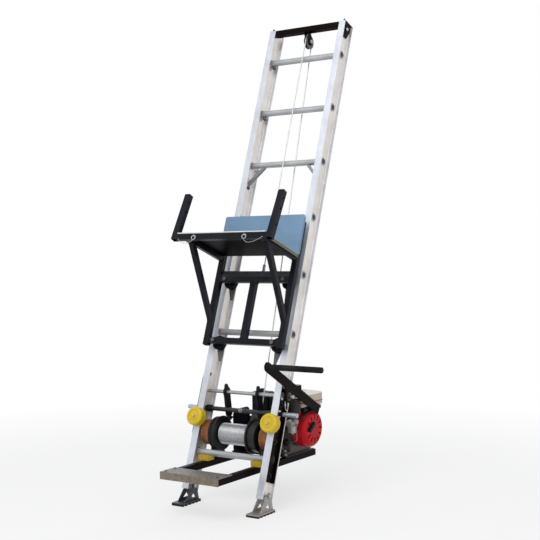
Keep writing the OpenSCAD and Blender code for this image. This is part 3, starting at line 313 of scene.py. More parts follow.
def cast_alloy(name, colour, metallic, level):
    """Sand-cast metal: a pebbled skin with oil stains."""
    finish = Finish(name, Metallic=metallic, Specular_IOR_Level=level)
    stains = finish.noise(scale=18.0, detail=6.0, roughness=0.65)
    finish.colour(finish.ramp(stains, [(0.3, shade(colour, 0.6)), (0.6, colour), (0.8, shade(colour, 1.15))]))
    finish.gloss(stains, low=0.42, high=0.62)
    finish.relief(finish.noise(scale=320.0, detail=5.0, roughness=0.7), depth=0.0006, strength=0.45)
    return finish.material


def wire_strand(name, colour):
    """Bright drawn wire, darker with grease in places."""
    finish = Finish(name, Metallic=0.75)
    grease = finish.noise(scale=90.0, detail=5.0)
    finish.colour(finish.ramp(grease, [(0.3, shade(colour, 0.75)), (0.6, colour), (0.85, shade(colour, 1.15))]))
    finish.gloss(grease, low=0.26, high=0.42)
    finish.relief(finish.noise(scale=900.0, detail=2.0), depth=0.0002, strength=0.4)
    return finish.material


def brake_lining(name, colour):
    """Woven friction lining, scorched in places, with rubbed rings round it."""
    finish = Finish(name, Specular_IOR_Level=0.25)
    scorch = finish.noise(scale=22.0, detail=6.0, roughness=0.7)
    rings = finish.noise(scale=45.0, detail=5.0, roughness=0.7, vector=finish.stretched((1.0, 0.04, 0.04)))
    tone = finish.ramp(scorch, [(0.3, shade(colour, 0.4)), (0.55, colour), (0.8, shade(colour, 1.4))])
    rubbed = finish.ramp(rings, [(0.35, (0.6, 0.6, 0.6)), (0.65, WHITE)])
    finish.colour(finish.times(tone, rubbed))
    finish.gloss(scorch, low=0.5, high=0.75)
    finish.relief(finish.noise(scale=260.0), depth=0.0006, strength=0.5)
    return finish.material


def bare_ended_paint(name, colour, bare, reach):
    """A painted tube whose ends, beyond that reach from the middle, are bare drawn metal."""
    finish = Finish(name)
    film = finish.noise(scale=9.0, detail=5.0, roughness=0.6)
    lines = finish.noise(scale=80.0, detail=5.0, roughness=0.7, vector=finish.stretched((0.03, 1.0, 1.0)))
    from_middle = finish.sums("ABSOLUTE", finish.along("X"), 0.0)
    beyond = finish.span(from_middle, start=reach, stop=reach + 0.002)
    painted = finish.coat(film, colour, dim=0.85, dust=0.01)
    drawn = finish.ramp(lines, [(0.3, shade(bare, 0.8)), (0.7, shade(bare, 1.08))])
    finish.colour(finish.mix(beyond, painted, drawn))
    finish.metal(beyond, share=0.7)
    finish.gloss(film, low=0.3, high=0.46)
    finish.relief(lines, depth=0.0002, strength=0.2)
    return finish.material


def top_bare_paint(name, colour, bare, side):
    """A sheet near black below, black paint that also stands for painted shade under the deck, bare and
    scratched on top, with dusty side lips.
    """
    finish = Finish(name, Specular_IOR_Level=0.03)
    # near black on the faces below: black paint and painted shade under the deck together
    top = finish.span(finish.rise(UP_RAILS), start=0.3, stop=0.7)
    film = finish.noise(scale=12.0, detail=5.0, roughness=0.6)
    drawn_out = finish.stretched((0.06, 1.0, 1.0), (LEAN, 0.0, 0.4))
    scratches = finish.noise(scale=70.0, detail=6.0, roughness=0.7, vector=drawn_out)
    painted = finish.coat(film, colour, dim=0.85, dust=0.006)
    lips = finish.mix(finish.facing(ACROSS), painted, full(side))
    sheet = finish.ramp(scratches, [(0.3, shade(bare, 0.72)), (0.7, shade(bare, 1.1))])
    finish.colour(finish.mix(top, lips, sheet))
    finish.metal(top, share=0.6)
    finish.gloss(film, low=0.36, high=0.52)
    finish.relief(scratches, depth=0.0002, strength=0.2)
    return finish.material


def tread_sheet(name, top, lip):
    """Walked-on steel plate: grey on the faces that look up and brown on its lips."""
    finish = Finish(name, Metallic=0.45)
    rust = finish.noise(scale=35.0, detail=7.0, roughness=0.7)
    level = finish.span(finish.facing(UP), start=0.3, stop=0.7)
    mottle = finish.ramp(rust, [(0.3, (0.6, 0.55, 0.5)), (0.6, WHITE), (0.8, (1.3, 1.25, 1.2))])
    finish.colour(finish.times(finish.mix(level, full(lip), full(top)), mottle))
    finish.gloss(rust, low=0.32, high=0.55)
    finish.relief(rust, depth=0.0004, strength=0.3)
    return finish.material


def dusty_paint(name, colour, dust):
    """Enamel with grey dust on the faces that look up."""
    finish = Finish(name, Specular_IOR_Level=0.12)
    film = finish.noise(scale=14.0, detail=6.0, roughness=0.65)
    level = finish.span(finish.rise(UP), start=0.2, stop=0.8)
    thick = finish.span(film, low=0.5, high=1.0, start=0.3, stop=0.6)
    painted = finish.coat(film, colour, dim=0.85, dust=0.006)
    finish.colour(finish.mix(finish.sums("MULTIPLY", level, thick), painted, full(dust)))
    finish.gloss(film, low=0.34, high=0.5)
    finish.peel()
    return finish.material


def two_part_paint(name, colour, back, split):
    """A painted cover in front of a dark casting: the colours meet at that place across."""
    finish = Finish(name, Specular_IOR_Level=0.10)
    film = finish.noise(scale=9.0, detail=5.0, roughness=0.6)
    soot = finish.noise(scale=26.0, detail=6.0, roughness=0.7)
    front = finish.span(finish.along("X"), start=split - 0.0006, stop=split + 0.0006)
    cover = finish.coat(film, colour, dim=0.82, dust=0.012)
    cast = finish.ramp(soot, [(0.3, shade(back, 0.5)), (0.6, back), (0.85, shade(back, 1.8))])
    finish.colour(finish.mix(front, cast, cover))
    finish.gloss(front, low=0.55, high=0.24)
    finish.relief(finish.noise(scale=380.0, detail=3.0), depth=0.0003, strength=0.2)
    return finish.material


BLACK = (0.0045, 0.0055, 0.0110)
DRAWN_UP = (1.0, 1.0, 0.02)
DRAWN_ACROSS = (0.03, 1.0, 1.0)
KNEE_DRAWN = (1.0, 1.0, 0.05)
FAN_SPLIT = 0.172
BAR_PAINTED = 0.243


# For each kind of finish, every name that has it, with what its function is told
FINISH_KINDS = (
    (extruded_aluminium, {
        # the rails' bluish main colour is a painted sky reflection on the flanges, and their cream side colour
        # is painted light on the webs
        "rail_aluminium": dict(colour=(0.67, 0.71, 0.79), side_shading_colour=(0.94, 0.88, 0.83), stretch=DRAWN_UP),
        "hem_aluminium": dict(colour=(0.78, 0.78, 0.79), side_shading_colour=(0.62, 0.60, 0.56), stretch=DRAWN_ACROSS),
        # the back sheet's blue is a painted sky reflection on bare aluminium sheet
        "back_sheet": dict(
            colour=(0.17, 0.295, 0.45), side_shading_colour=(0.17, 0.275, 0.41), stretch=DRAWN_ACROSS, metallic=0.25),
        "knee_grey": dict(colour=(0.26, 0.29, 0.33), side_shading_colour=(0.24, 0.25, 0.27), stretch=KNEE_DRAWN)}),
    (ribbed_aluminium, {"rung_aluminium": dict(colour=(0.54, 0.555, 0.58))}),
    (gloss_paint, {
        "black_paint": dict(colour=BLACK, dust=0.005, roughness=0.34, level=0.13),
        "yellow_paint": dict(colour=(0.70, 0.50, 0.014), dust=0.03, roughness=0.34, worn=(0.24, 0.15, 0.03)),
        "saddle_paint": dict(colour=(0.52, 0.35, 0.02), dust=0.02, roughness=0.42, worn=(0.10, 0.07, 0.03)),
        "red_paint": dict(colour=(0.42, 0.004, 0.008), dust=0.012, roughness=0.24, worn=(0.16, 0.02, 0.02)),
        "cream_paint": dict(colour=(0.51, 0.44, 0.355), dust=0.03, roughness=0.28, worn=(0.36, 0.30, 0.24)),
        "lever_paint": dict(
            colour=(0.0055, 0.0028, 0.0022), dust=0.002, roughness=0.30, worn=(0.05, 0.038, 0.030), level=0.03),
        "drum_paint": dict(
            colour=(0.007, 0.0072, 0.008), dust=0.006, roughness=0.30, worn=(0.10, 0.10, 0.10), level=0.32)}),
    (zinc_plate, {
        "zinc": dict(colour=(0.46, 0.47, 0.48), metallic=0.8),
        "tread_worn": dict(colour=(0.36, 0.34, 0.32)),
        # the pink tint and brightness of this zinc are a painted highlight, used on the bumper bolts
        "pink_zinc": dict(colour=(0.52, 0.40, 0.36)),
        "bolt_zinc": dict(colour=(0.26, 0.265, 0.27), metallic=0.7),
        # the two shoe steels are lit and shaded copies of one steel: the lighter one, on the right shoe, is
        # painted light and the darker one, on the left shoe, painted shade
        "shoe_steel": dict(colour=(0.40, 0.385, 0.365)),
        "dark_shoe": dict(colour=(0.060, 0.065, 0.078)),
        "tab_steel": dict(colour=(0.13, 0.125, 0.12)),
        "dark_bolt": dict(colour=(0.055, 0.052, 0.050))}),
    (moulded_rubber, {
        "rubber": dict(colour=(0.007, 0.007, 0.007), roughness=0.5, grain=500.0),
        "black_plastic": dict(colour=(0.006, 0.006, 0.007), roughness=0.42, grain=700.0)}),
    (cast_alloy, {
        "cast_metal": dict(colour=(0.016, 0.015, 0.014), metallic=0.1, level=0.1),
        "engine_alloy": dict(colour=(0.50, 0.485, 0.47), metallic=0.6, level=0.5),
        "crank_cast": dict(colour=(0.085, 0.072, 0.062), metallic=0.3, level=0.4),
        "soot_steel": dict(colour=(0.020, 0.016, 0.014), metallic=0.3, level=0.4)}),
    (wire_strand, {"rope_wire": dict(colour=(0.56, 0.57, 0.59))}),
    (brake_lining, {"friction_lining": dict(colour=(0.34, 0.135, 0.048))}),
    (bare_ended_paint, {"bar_paint": dict(colour=BLACK, bare=(0.46, 0.51, 0.60), reach=BAR_PAINTED)}),
    (top_bare_paint, {"deck_sheet": dict(
        colour=(0.0024, 0.0022, 0.0022), bare=(0.56, 0.56, 0.56), side=(0.20, 0.17, 0.13))}),
    (tread_sheet, {"tread_sheet": dict(top=(0.15, 0.15, 0.155), lip=(0.25, 0.205, 0.165))}),
    (dusty_paint, {"crossbeam_paint": dict(colour=BLACK, dust=(0.085, 0.088, 0.088))}),
    (two_part_paint, {"fan_paint": dict(
        colour=(0.50, 0.003, 0.010), back=(0.060, 0.052, 0.045), split=FAN_SPLIT)}))
FINISHES = {name: kind(name, **told) for kind, names in FINISH_KINDS for name, told in names.items()}
# Nodes of the solids whose finish differs from their slot's
OWN_FINISH = {
    "rungs": "rung_aluminium", "knee_braces": "knee_grey", "head_beam": "lever_paint",
    "head_plates": "lever_paint", "base_arms": "lever_paint", "lever": "lever_paint",
    # the shoes take lit and shaded copies of one steel: painted light on the right shoe, painted shade on the
    # left
    "uprights": "lever_paint", "drum": "drum_paint", "left_shoe": "dark_shoe", "right_shoe": "shoe_steel",
    "wheel_tabs": "tab_steel", "wheel_bolts": "tab_steel", "sheave": "tab_steel", "carry_bar": "bar_paint",
    "tread_plate": "tread_sheet", "upper_crossbeam": "crossbeam_paint", "fan_housing": "fan_paint",
    "crankcase": "crank_cast", "cylinder": "crank_cast"}


def paint(piece, finish):
    piece.data.materials.clear()
    piece.data.materials.append(FINISHES[finish])


for subpart in frame["record"]["subparts"]:
    name = subpart["node"]
    paint(frame["nodes"][name], OWN_FINISH.get(name, subpart["material_slot"]))


def new_piece(name, mesh, slot, body, finish=None):
    """A new object of that mesh, painted, riding on its body."""
    piece = bpy.data.objects.new(name, mesh)
    scene.collection.objects.link(piece)
    paint(piece, finish or slot)
    if body:
        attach(piece, body)
    return piece


SAME_POINT = 1e-6
SMOOTH_ANGLE = math.radians(40.0)
ROPE_SMOOTH_ANGLE = math.radians(75.0)


def close(build, name, smooth_angle=SMOOTH_ANGLE):
    """The finished mesh of a build, with its soft edges shaded smooth."""
    bmesh.ops.remove_doubles(build, verts=build.verts, dist=SAME_POINT)
    bmesh.ops.recalc_face_normals(build, faces=build.faces)
    for face in build.faces:
        face.smooth = True
    for edge in build.edges:
        edge.smooth = len(edge.link_faces) == 2 and edge.calc_face_angle() < smooth_angle
    mesh = bpy.data.meshes.new(name)
    build.to_mesh(mesh)
    build.free()
    return mesh


STRANDS = 6
STRAND_DEPTH = 0.14
ROPE_LAY = 0.042
ROPE_SIDES = 24
ROPE_STEP = 0.003


def rings_along(build, path, sides, radius_at):
    """A closed skin round the path: radius_at(run, angle) gives each point's distance from it."""
    rings = []
    run = 0.0
    side = None
    for index, point in enumerate(path):
        ahead = path[min(index + 1, len(path) - 1)] - path[max(index - 1, 0)]
        ahead.normalize()
        if side is None:
            side = ahead.orthogonal().normalized()
        side = (side - ahead * side.dot(ahead)).normalized()
        other = ahead.cross(side)
        if index:
            run += (point - path[index - 1]).length
        ring = []
        for step in range(sides):
            angle = 2 * math.pi * step / sides
            out = radius_at(run, angle) * (math.cos(angle) * side + math.sin(angle) * other)
            ring.append(build.verts.new(point + out))
        rings.append(ring)
    for first, second in zip(rings, rings[1:]):
        for step in range(sides):
            after = (step + 1) % sides
            build.faces.new((first[step], first[after], second[after], second[step]))
    build.faces.new(list(reversed(rings[0])))
    build.faces.new(rings[-1])


def strand_radius(run, angle):
    """A lobe for every strand, turning with the lay."""
    lobe = abs(math.cos(STRANDS / 2 * (angle - 2 * math.pi * run / ROPE_LAY)))
    return ROPE_RADIUS * (1 - STRAND_DEPTH * (1 - lobe))


def rope(name, path, body):
    """A stranded wire rope along the path."""
    build = bmesh.new()
    rings_along(build, path, ROPE_SIDES, strand_radius)
    return new_piece(name, close(build, name, ROPE_SMOOTH_ANGLE), "rope_wire", body)


def straight(start, stop, pace=ROPE_STEP):
    count = max(2, round((stop - start).length / pace))
    return [start.lerp(stop, step / count) for step in range(count + 1)]


# The falls' line, tangent to the drum's winding and to the sheave's groove behind the rungs
drum_back = DRUM_AXIS.y * math.cos(LEAN) - (DRUM_AXIS.z - RUNG_HEIGHT) * math.sin(LEAN)
drum_up = DRUM_AXIS.y * math.sin(LEAN) + (DRUM_AXIS.z - RUNG_HEIGHT) * math.cos(LEAN)
fall_length = math.hypot(drum_back, SHEAVE_UP - drum_up)
fall_slant = math.asin((WIND_RADIUS - SHEAVE_RADIUS) / fall_length)
fall_turn = math.atan2(drum_back, SHEAVE_UP - drum_up) + fall_slant
leave_angle = fall_turn - LEAN


def on_drum(along, angle):
    return DRUM_AXIS + Vector((along, WIND_RADIUS * math.cos(angle), WIND_RADIUS * math.sin(angle)))


front_top = on_ladder(0.0, -SHEAVE_RADIUS, SHEAVE_UP)
front_foot = on_ladder(0.0, -SHEAVE_RADIUS, ROPE_FOOT_UP)
front_rope = rope("front_fall", straight(front_top, front_foot), None)
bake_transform(front_rope)
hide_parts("front_rope")

WRAP_STEPS = 40
WIND_STEPS = 96
wrap = []
for step in range(WRAP_STEPS + 1):
    angle = math.pi + (fall_turn - math.pi) * step / WRAP_STEPS
    wrap.append(on_ladder(0.0, SHEAVE_RADIUS * math.cos(angle), SHEAVE_UP + SHEAVE_RADIUS * math.sin(angle)))
drum_steps = round(WIND_STEPS * FALL_WRAP / (2 * math.pi))
lie = [on_drum(FALL_X, leave_angle - FALL_WRAP * step / drum_steps) for step in range(drum_steps + 1)]
back_rope = rope("back_fall", wrap + straight(wrap[-1], lie[0])[1:-1] + lie, "ladder")
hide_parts("back_rope")

turns = []
for step in range(-WIND_STEPS * WIND_TURNS, 1):
    along = WIND_END + (WIND_END - WIND_START) / WIND_TURNS * step / WIND_STEPS
    turns.append(on_drum(along, leave_angle + 2 * math.pi * step / WIND_STEPS))
winding = rope("wound_rope", turns, "winch_drum")
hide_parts("rope_winding")


# Small forms that the details are made of
def turned(build, place, axis, profile, sides=24):
    """A turned form: profile is a list of (radius, height) from the axis' middle round to it again."""
    facing = axis.to_track_quat("Z", "Y").to_matrix()
    rings = []
    for radius, height in profile:
        if radius == 0:
            rings.append([build.verts.new(place + facing @ Vector((0.0, 0.0, height)))])
            continue
        ring = []
        for step in range(sides):
            angle = 2 * math.pi * step / sides
            out = Vector((radius * math.cos(angle), radius * math.sin(angle), height))
            ring.append(build.verts.new(place + facing @ out))
        rings.append(ring)
    for first, second in zip(rings, rings[1:]):
        for step in range(sides):
            after = (step + 1) % sides
            corners = [first[step % len(first)], first[after % len(first)],
                       second[after % len(second)], second[step % len(second)]]
            build.faces.new(list(dict.fromkeys(corners)))


HEAD_HEIGHT = 0.62
WASHER_HEIGHT = 0.12
WASHER_SINK = 0.0004
RIVET_SINK = 0.0003
RIVET_DOME = ((0.96, 0.18), (0.72, 0.42), (0.36, 0.55), (0.0, 0.58))


def hex_bolt(build, place, axis, across):
    """A hexagon head with chamfered corners on its washer, seated at place."""
    seat = across * WASHER_HEIGHT
    turned(build, place, axis, [
        (0.0, -WASHER_SINK), (across, -WASHER_SINK), (across, seat * 0.8), (across * 0.96, seat), (0.0, seat)])
    corner = across / math.sqrt(3)
    height = across * HEAD_HEIGHT
    turned(build, place, axis, [
        (0.0, seat * 0.9), (corner, seat * 0.9), (corner, seat + height * 0.82),
        (corner * 0.84, seat + height), (0.0, seat + height)], sides=6)


def rivet(build, place, axis, radius):
    """A low domed head: the dome's points are shares of the radius."""
    dome = [(radius * out, radius * up) for out, up in RIVET_DOME]
    turned(build, place, axis, [(0.0, -RIVET_SINK), (radius, -RIVET_SINK)] + dome, sides=16)


BEAD_RADIUS = 0.0024
BEAD_LOW = 0.86
BEAD_SWELL = 0.20
BEAD_PACE = 0.0012
BEAD_RIPPLE = 0.0036
BEAD_SIDES = 8
CORNERS = ((-1, -1), (1, -1), (1, 1), (-1, 1))


def bead_radius(run, angle):
    return BEAD_RADIUS * (BEAD_LOW + BEAD_SWELL * abs(math.sin(math.pi * run / BEAD_RIPPLE)))


def weld(build, middle, first, second):
    """A rippled weld bead round a rectangle of those two half sides."""
    corners = [middle + a * first + b * second for a, b in CORNERS]
    for start, stop in zip(corners, corners[1:] + corners[:1]):
        rings_along(build, straight(start, stop, BEAD_PACE), BEAD_SIDES, bead_radius)


def block(build, low, high, ease, place=in_frame):
    """A box with eased edges between two corners of the shared frame, or of the ladder's."""
    part = bmesh.new()
    bmesh.ops.create_cube(part, size=1.0)
    for vert in part.verts:
        vert.co = [a + (share + 0.5) * (b - a) for a, b, share in zip(low, high, vert.co)]
    bmesh.ops.bevel(part, geom=list(part.edges), offset=ease, segments=2, affect="EDGES", profile=0.5)
    copies = {vert: build.verts.new(place(*vert.co)) for vert in part.verts}
    for face in part.faces:
        build.faces.new([copies[vert] for vert in face.verts])
    part.free()


def wire(build, path, radius, sides=10):
    rings_along(build, path, sides, lambda run, angle: radius)


def smooth_path(points, steps=8):
    """A smooth line through the points."""
    path = []
    last = len(points) - 1
    for index in range(last):
        a, b = points[max(index - 1, 0)], points[index]
        c, d = points[index + 1], points[min(index + 2, last)]
        for step in range(steps):
            t = step / steps
            square = (2 * a - 5 * b + 4 * c - d) * t ** 2
            cube = (3 * b - a - 3 * c + d) * t ** 3
            path.append(0.5 * (2 * b + (c - a) * t + square + cube))
    return path + [points[-1]]


def made(name, fill, slot, body, finish=None):
    """One piece of all the forms that fill() puts into it."""
    build = bmesh.new()
    fill(build)
    new_piece(name, close(build, name), slot, body, finish)


# Raised bars of the tread plate, laid in alternate directions
TREAD_LENGTH = 0.020
TREAD_WIDTH = 0.0062
TREAD_HEIGHT = 0.0014
TREAD_PITCH = 0.021
TREAD_SIDES = 12
TREAD_TAPER = 0.3
TREAD_TURN = math.radians(45)


def tread_bar(build, middle, angle):
    """One raised bar: a low lens, pointed at both ends."""
    top = build.verts.new(middle + UP * TREAD_HEIGHT)
    rim = []
    for step in range(TREAD_SIDES):
        turn = 2 * math.pi * step / TREAD_SIDES
        width = TREAD_WIDTH / 2 * math.sin(turn) * abs(math.sin(turn)) ** TREAD_TAPER
        along = Vector((TREAD_LENGTH / 2 * math.cos(turn), width, 0.0))
        rim.append(build.verts.new(middle + Matrix.Rotation(angle, 3, "Z") @ along))
    for step in range(TREAD_SIDES):
        build.faces.new((rim[step], rim[(step + 1) % TREAD_SIDES], top))
    build.faces.new(list(reversed(rim)))


def tread_bars(build):
    low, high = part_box("tread_plate")
    rows = int((high[1] - low[1]) / TREAD_PITCH)
    columns = int((high[0] - low[0]) / TREAD_PITCH)
    for row in range(rows):
        for column in range(columns):
            place = Vector((
                low[0] + (column + 0.5) * (high[0] - low[0]) / columns,
                low[1] + (row + 0.5) * (high[1] - low[1]) / rows,
                high[2]))
            tread_bar(build, place, TREAD_TURN if (row + column) % 2 else -TREAD_TURN)


made("tread_bars", tread_bars, "tread_steel", "ladder", "tread_worn")

# Welds of the carriage's tubes
SIDE_X = 0.220
TUBE = 0.015
TUBE_FACE = -0.090
LOWER_UP = 0.541
UPPER_UP = 0.860
PLATFORM_UP = 0.955
BRACE_UP = 0.655
BRACE_REACH = 0.355
BRACE_HALF = 0.0125
CENTRE_HALF = 0.016
BRACE_CUT = 0.017


def carriage_welds(build):
    for side in SIDES:
        for height in (LOWER_UP, UPPER_UP):
            weld(build, on_ladder(side * (SIDE_X - TUBE), TUBE_FACE, height), BACK * TUBE, UP_RAILS * TUBE)
        foot = on_ladder(side * SIDE_X, TUBE_FACE - TUBE, BRACE_UP)
        weld(build, foot, ACROSS * BRACE_HALF, UP_RAILS * BRACE_CUT)
        head = on_ladder(side * SIDE_X, -BRACE_REACH, PLATFORM_UP)
        weld(build, head, ACROSS * BRACE_HALF, BACK * BRACE_CUT)
    for height in (LOWER_UP + TUBE, UPPER_UP - TUBE):
        weld(build, on_ladder(0.0, TUBE_FACE, height), ACROSS * CENTRE_HALF, BACK * CENTRE_HALF)


made("carriage_welds", carriage_welds, "black_paint", "carriage")

# Bolts, caps and fittings of the ladder and the base
RUNG_PITCH = 0.305
RAIL_X = 0.217
WEB_INNER = 0.215
UPRIGHT_FACE = 0.222
BAR_UP = 0.217
BAR_RADIUS = 0.011
BAR_HEX = 0.011
ARM_X = 0.147
PLATE_TOP = 0.211
PLATE_BOLTS_Y = (0.240, 0.470)
CRANK = Vector((0.0, 0.356, 0.336))
CASE_FEET_X = (-0.014, 0.130)
CASE_FEET_Y = 0.094
CASE_FEET_TOP = 0.225
HEX = 0.013
UPRIGHT_BOLTS_UP = (-0.075, 0.085, 0.262)
BUMPER_UP = 0.160
BUMPER_FACE = -0.086
BUMPER_HEX = 0.012
TREAD_TOP = 0.208
TREAD_RIVETS_Y = (-0.333, -0.263)
TREAD_RIVET = 0.0075


def frame_bolts(build):
    for side in SIDES:
        for back in PLATE_BOLTS_Y:
            hex_bolt(build, Vector((side * ARM_X, back, PLATE_TOP)), UP, HEX)
    for along in CASE_FEET_X:
        for side in SIDES:
            hex_bolt(build, Vector((along, CRANK.y + side * CASE_FEET_Y, CASE_FEET_TOP)), UP, HEX)
    hex_bolt(build, on_ladder(0.0, -BAR_RADIUS, BAR_UP), -BACK, BAR_HEX)


def upright_bolts(build):
    for side in SIDES:
        for up in UPRIGHT_BOLTS_UP:
            hex_bolt(build, on_ladder(side * UPRIGHT_FACE, 0.0, up), side * ACROSS, HEX)


def bumper_bolts(build):
    for side in SIDES:
        hex_bolt(build, on_ladder(side * RAIL_X, BUMPER_FACE, BUMPER_UP), -BACK, BUMPER_HEX)


def tread_rivets(build):
    for side in SIDES:
        for front in TREAD_RIVETS_Y:
            rivet(build, Vector((side * ARM_X, front, TREAD_TOP)), UP, TREAD_RIVET)


made("frame_bolts", frame_bolts, "zinc", "ladder", "bolt_zinc")
made("upright_bolts", upright_bolts, "black_paint", "ladder")
# the bumper bolts' pink zinc is a painted highlight
made("bumper_bolts", bumper_bolts, "zinc", "ladder", "pink_zinc")
made("tread_rivets", tread_rivets, "zinc", "ladder", "dark_bolt")

# Lugs under two rungs, with the knee braces' bolts, and the rungs' ends outside the rails, with a dark disc in
# each end as painted shade inside the hollow tube
LUGGED_RUNGS = (6, 7)
LUG_X = (-0.208, -0.192)
LUG_Y = (0.000, 0.018)
LUG_DROP = (0.033, 0.0125)
LUG_EASE = 0.003
LUG_RIVET = 0.004
LUG_RIVET_Y = 0.009
LUG_RIVET_DROP = 0.026
KNEE_BOLT_UP = 1.400
KNEE_HEX = 0.012
OPEN_RUNGS = range(2, 8)
FLARE_X = 0.2191
FLARE = ((0.0164, 0.0), (0.0205, 0.0), (0.0210, 0.0008), (0.0195, 0.0032), (0.0164, 0.0036), (0.0164, 0.0))
# a dark disc in each rung end: painted shade inside the hollow tube
SHADE_DISC_X = 0.222
SHADE_DISC = ((0.0, 0.0), (0.0128, 0.0), (0.0134, 0.0006), (0.0122, 0.0022), (0.0, 0.0026))
RING_SIDES = 32
HEAD_RIVET_X = 0.229
HEAD_RIVET_Y = 0.763
HEAD_RIVET_UP = 2.393
HEAD_RIVET = 0.0095
RUNG_CAP = ((0.0, 0.0), (0.0215, 0.0), (0.0215, 0.004), (0.019, 0.006), (0.012, 0.0072), (0.0, 0.0076))
COLLAR_X = 0.178
COLLAR = (
    (0.0112, 0.0), (0.0165, 0.0), (0.0175, 0.001), (0.0175, 0.025), (0.0165, 0.026), (0.0112, 0.026),
    (0.0112, 0.0))


def rung_lugs(build):
    for place in LUGGED_RUNGS:
        up = place * RUNG_PITCH
        low, high = zip(LUG_X, LUG_Y, [up - drop for drop in LUG_DROP])
        block(build, low, high, LUG_EASE, on_ladder)
        rivet(build, on_ladder(LUG_X[1], LUG_RIVET_Y, up - LUG_RIVET_DROP), ACROSS, LUG_RIVET)
    for side in SIDES:
        hex_bolt(build, on_ladder(side * WEB_INNER, 0.0, KNEE_BOLT_UP), -side * ACROSS, KNEE_HEX)


def at_rung_ends(build, x, profile):
    """The turned form on both ends of every rung above the base."""
    for side in SIDES:
        for place in OPEN_RUNGS:
            turned(build, on_ladder(side * x, 0.0, place * RUNG_PITCH), side * ACROSS, profile, RING_SIDES)


def rung_flares(build):
    at_rung_ends(build, FLARE_X, FLARE)


def rung_end_shade_discs(build):
    at_rung_ends(build, SHADE_DISC_X, SHADE_DISC)


def head_rivets(build):
    for side in SIDES:
        rivet(build, Vector((side * HEAD_RIVET_X, HEAD_RIVET_Y, HEAD_RIVET_UP)), side * ACROSS, HEAD_RIVET)


def bar_collars(build):
    for side in SIDES:
        turned(build, on_ladder(side * UPRIGHT_FACE, 0.0, 0.0), side * ACROSS, RUNG_CAP, RING_SIDES)
        turned(build, on_ladder(side * COLLAR_X, 0.0, BAR_UP), side * ACROSS, COLLAR, RING_SIDES)


made("rung_lugs", rung_lugs, "zinc", "ladder", "tab_steel")
made("rung_flares", rung_flares, "rail_aluminium", "ladder", "rung_aluminium")
# dark discs in the rung ends, painted shade inside the hollow tubes
made("rung_end_shade_discs", rung_end_shade_discs, "black_plastic", "ladder", "dark_bolt")
made("head_rivets", head_rivets, "zinc", "ladder")
made("bar_collars", bar_collars, "black_plastic", "ladder")

# The black cable along the left rail's outer edge, from its bolt through the web, which also stands for painted
# shade along that edge, and the base arms' end caps
WEB_HALF = 0.002
CABLE_BOLT_Y = -0.020
CABLE_UP = 0.385
CABLE_HEX = 0.010
CABLE_RADIUS = 0.0022
EDGE = 0.2376
CABLE_LINE = (
    (0.2270, CABLE_BOLT_Y, CABLE_UP), (0.2340, -0.026, 0.384), (EDGE, -0.036, 0.374), (EDGE, -0.041, 0.350),
    (EDGE, -0.041, 0.230), (EDGE, -0.041, 0.110), (EDGE, -0.038, 0.080), (0.2350, -0.035, 0.062))
ARM_BACK = 0.500
ARM_LOW = 0.173
ARM_TUBE = 0.032
CAP_INSIDE = 0.002
CAP_OUTSIDE = 0.005
CAP_EASE = 0.0018


def edge_shade_cable(build):
    for side in SIDES:
        head = on_ladder(-RAIL_X + side * WEB_HALF, CABLE_BOLT_Y, CABLE_UP)
        hex_bolt(build, head, side * ACROSS, CABLE_HEX)
    wire(build, smooth_path([on_ladder(-x, y, z) for x, y, z in CABLE_LINE]), CABLE_RADIUS)


def arm_caps(build):
    for side in SIDES:
        low = (side * ARM_X - ARM_TUBE / 2, ARM_BACK - CAP_INSIDE, ARM_LOW)
        high = (side * ARM_X + ARM_TUBE / 2, ARM_BACK + CAP_OUTSIDE, ARM_LOW + ARM_TUBE)
        block(build, low, high, CAP_EASE)


# the black cable is also a painted shade line along the left rail's outer edge
made("edge_shade_cable", edge_shade_cable, "black_plastic", "ladder")
made("arm_caps", arm_caps, "red_paint", "ladder")

# The deck's front hem, its rivets and the wire bails of the posts' pull pins
DECK_FRONT = -0.4385
DECK_TOP = 0.983
HEM_HALF = 0.256
HEM_RADIUS = 0.0035
HEM_PACE = 0.02
HEM_SIDES = 14
HEM_BACK = -0.408
HEM_LOW = 0.9806
HEM_HIGH = 0.9836
HEM_EASE = 0.0008
DECK_RIVETS_Y = (-0.16, -0.27, -0.38)
DECK_RIVET = 0.0055
PIN_X = 0.1475
BAIL_RADIUS = 0.0011
THIN_SIDES = 8
BAIL_LINE = (
    (0.0, -0.451, 0.947), (0.008, -0.453, 0.935), (0.030, -0.454, 0.925), (0.060, -0.452, 0.930),
    (0.085, -0.448, 0.944), (0.098, -0.442, 0.956), (0.103, -0.436, 0.960))


def deck_hem(build):
    left, right = [on_ladder(side * HEM_HALF, DECK_FRONT, DECK_TOP) for side in SIDES]
    wire(build, straight(left, right, HEM_PACE), HEM_RADIUS, HEM_SIDES)
    block(build, (-HEM_HALF, DECK_FRONT, HEM_LOW), (HEM_HALF, HEM_BACK, HEM_HIGH), HEM_EASE, on_ladder)


def carriage_rivets(build):
    for side in SIDES:
        for front in DECK_RIVETS_Y:
            rivet(build, on_ladder(side * SIDE_X, front, DECK_TOP), UP_RAILS, DECK_RIVET)


def pin_bails(build):
    for side in SIDES:
        line = [on_ladder(side * (PIN_X + x), y, z) for x, y, z in BAIL_LINE]
        wire(build, smooth_path(line), BAIL_RADIUS, THIN_SIDES)


made("deck_hem", deck_hem, "deck_sheet", "carriage", "hem_aluminium")
made("carriage_rivets", carriage_rivets, "zinc", "carriage", "bolt_zinc")
made("pin_bails", pin_bails, "zinc", "carriage")

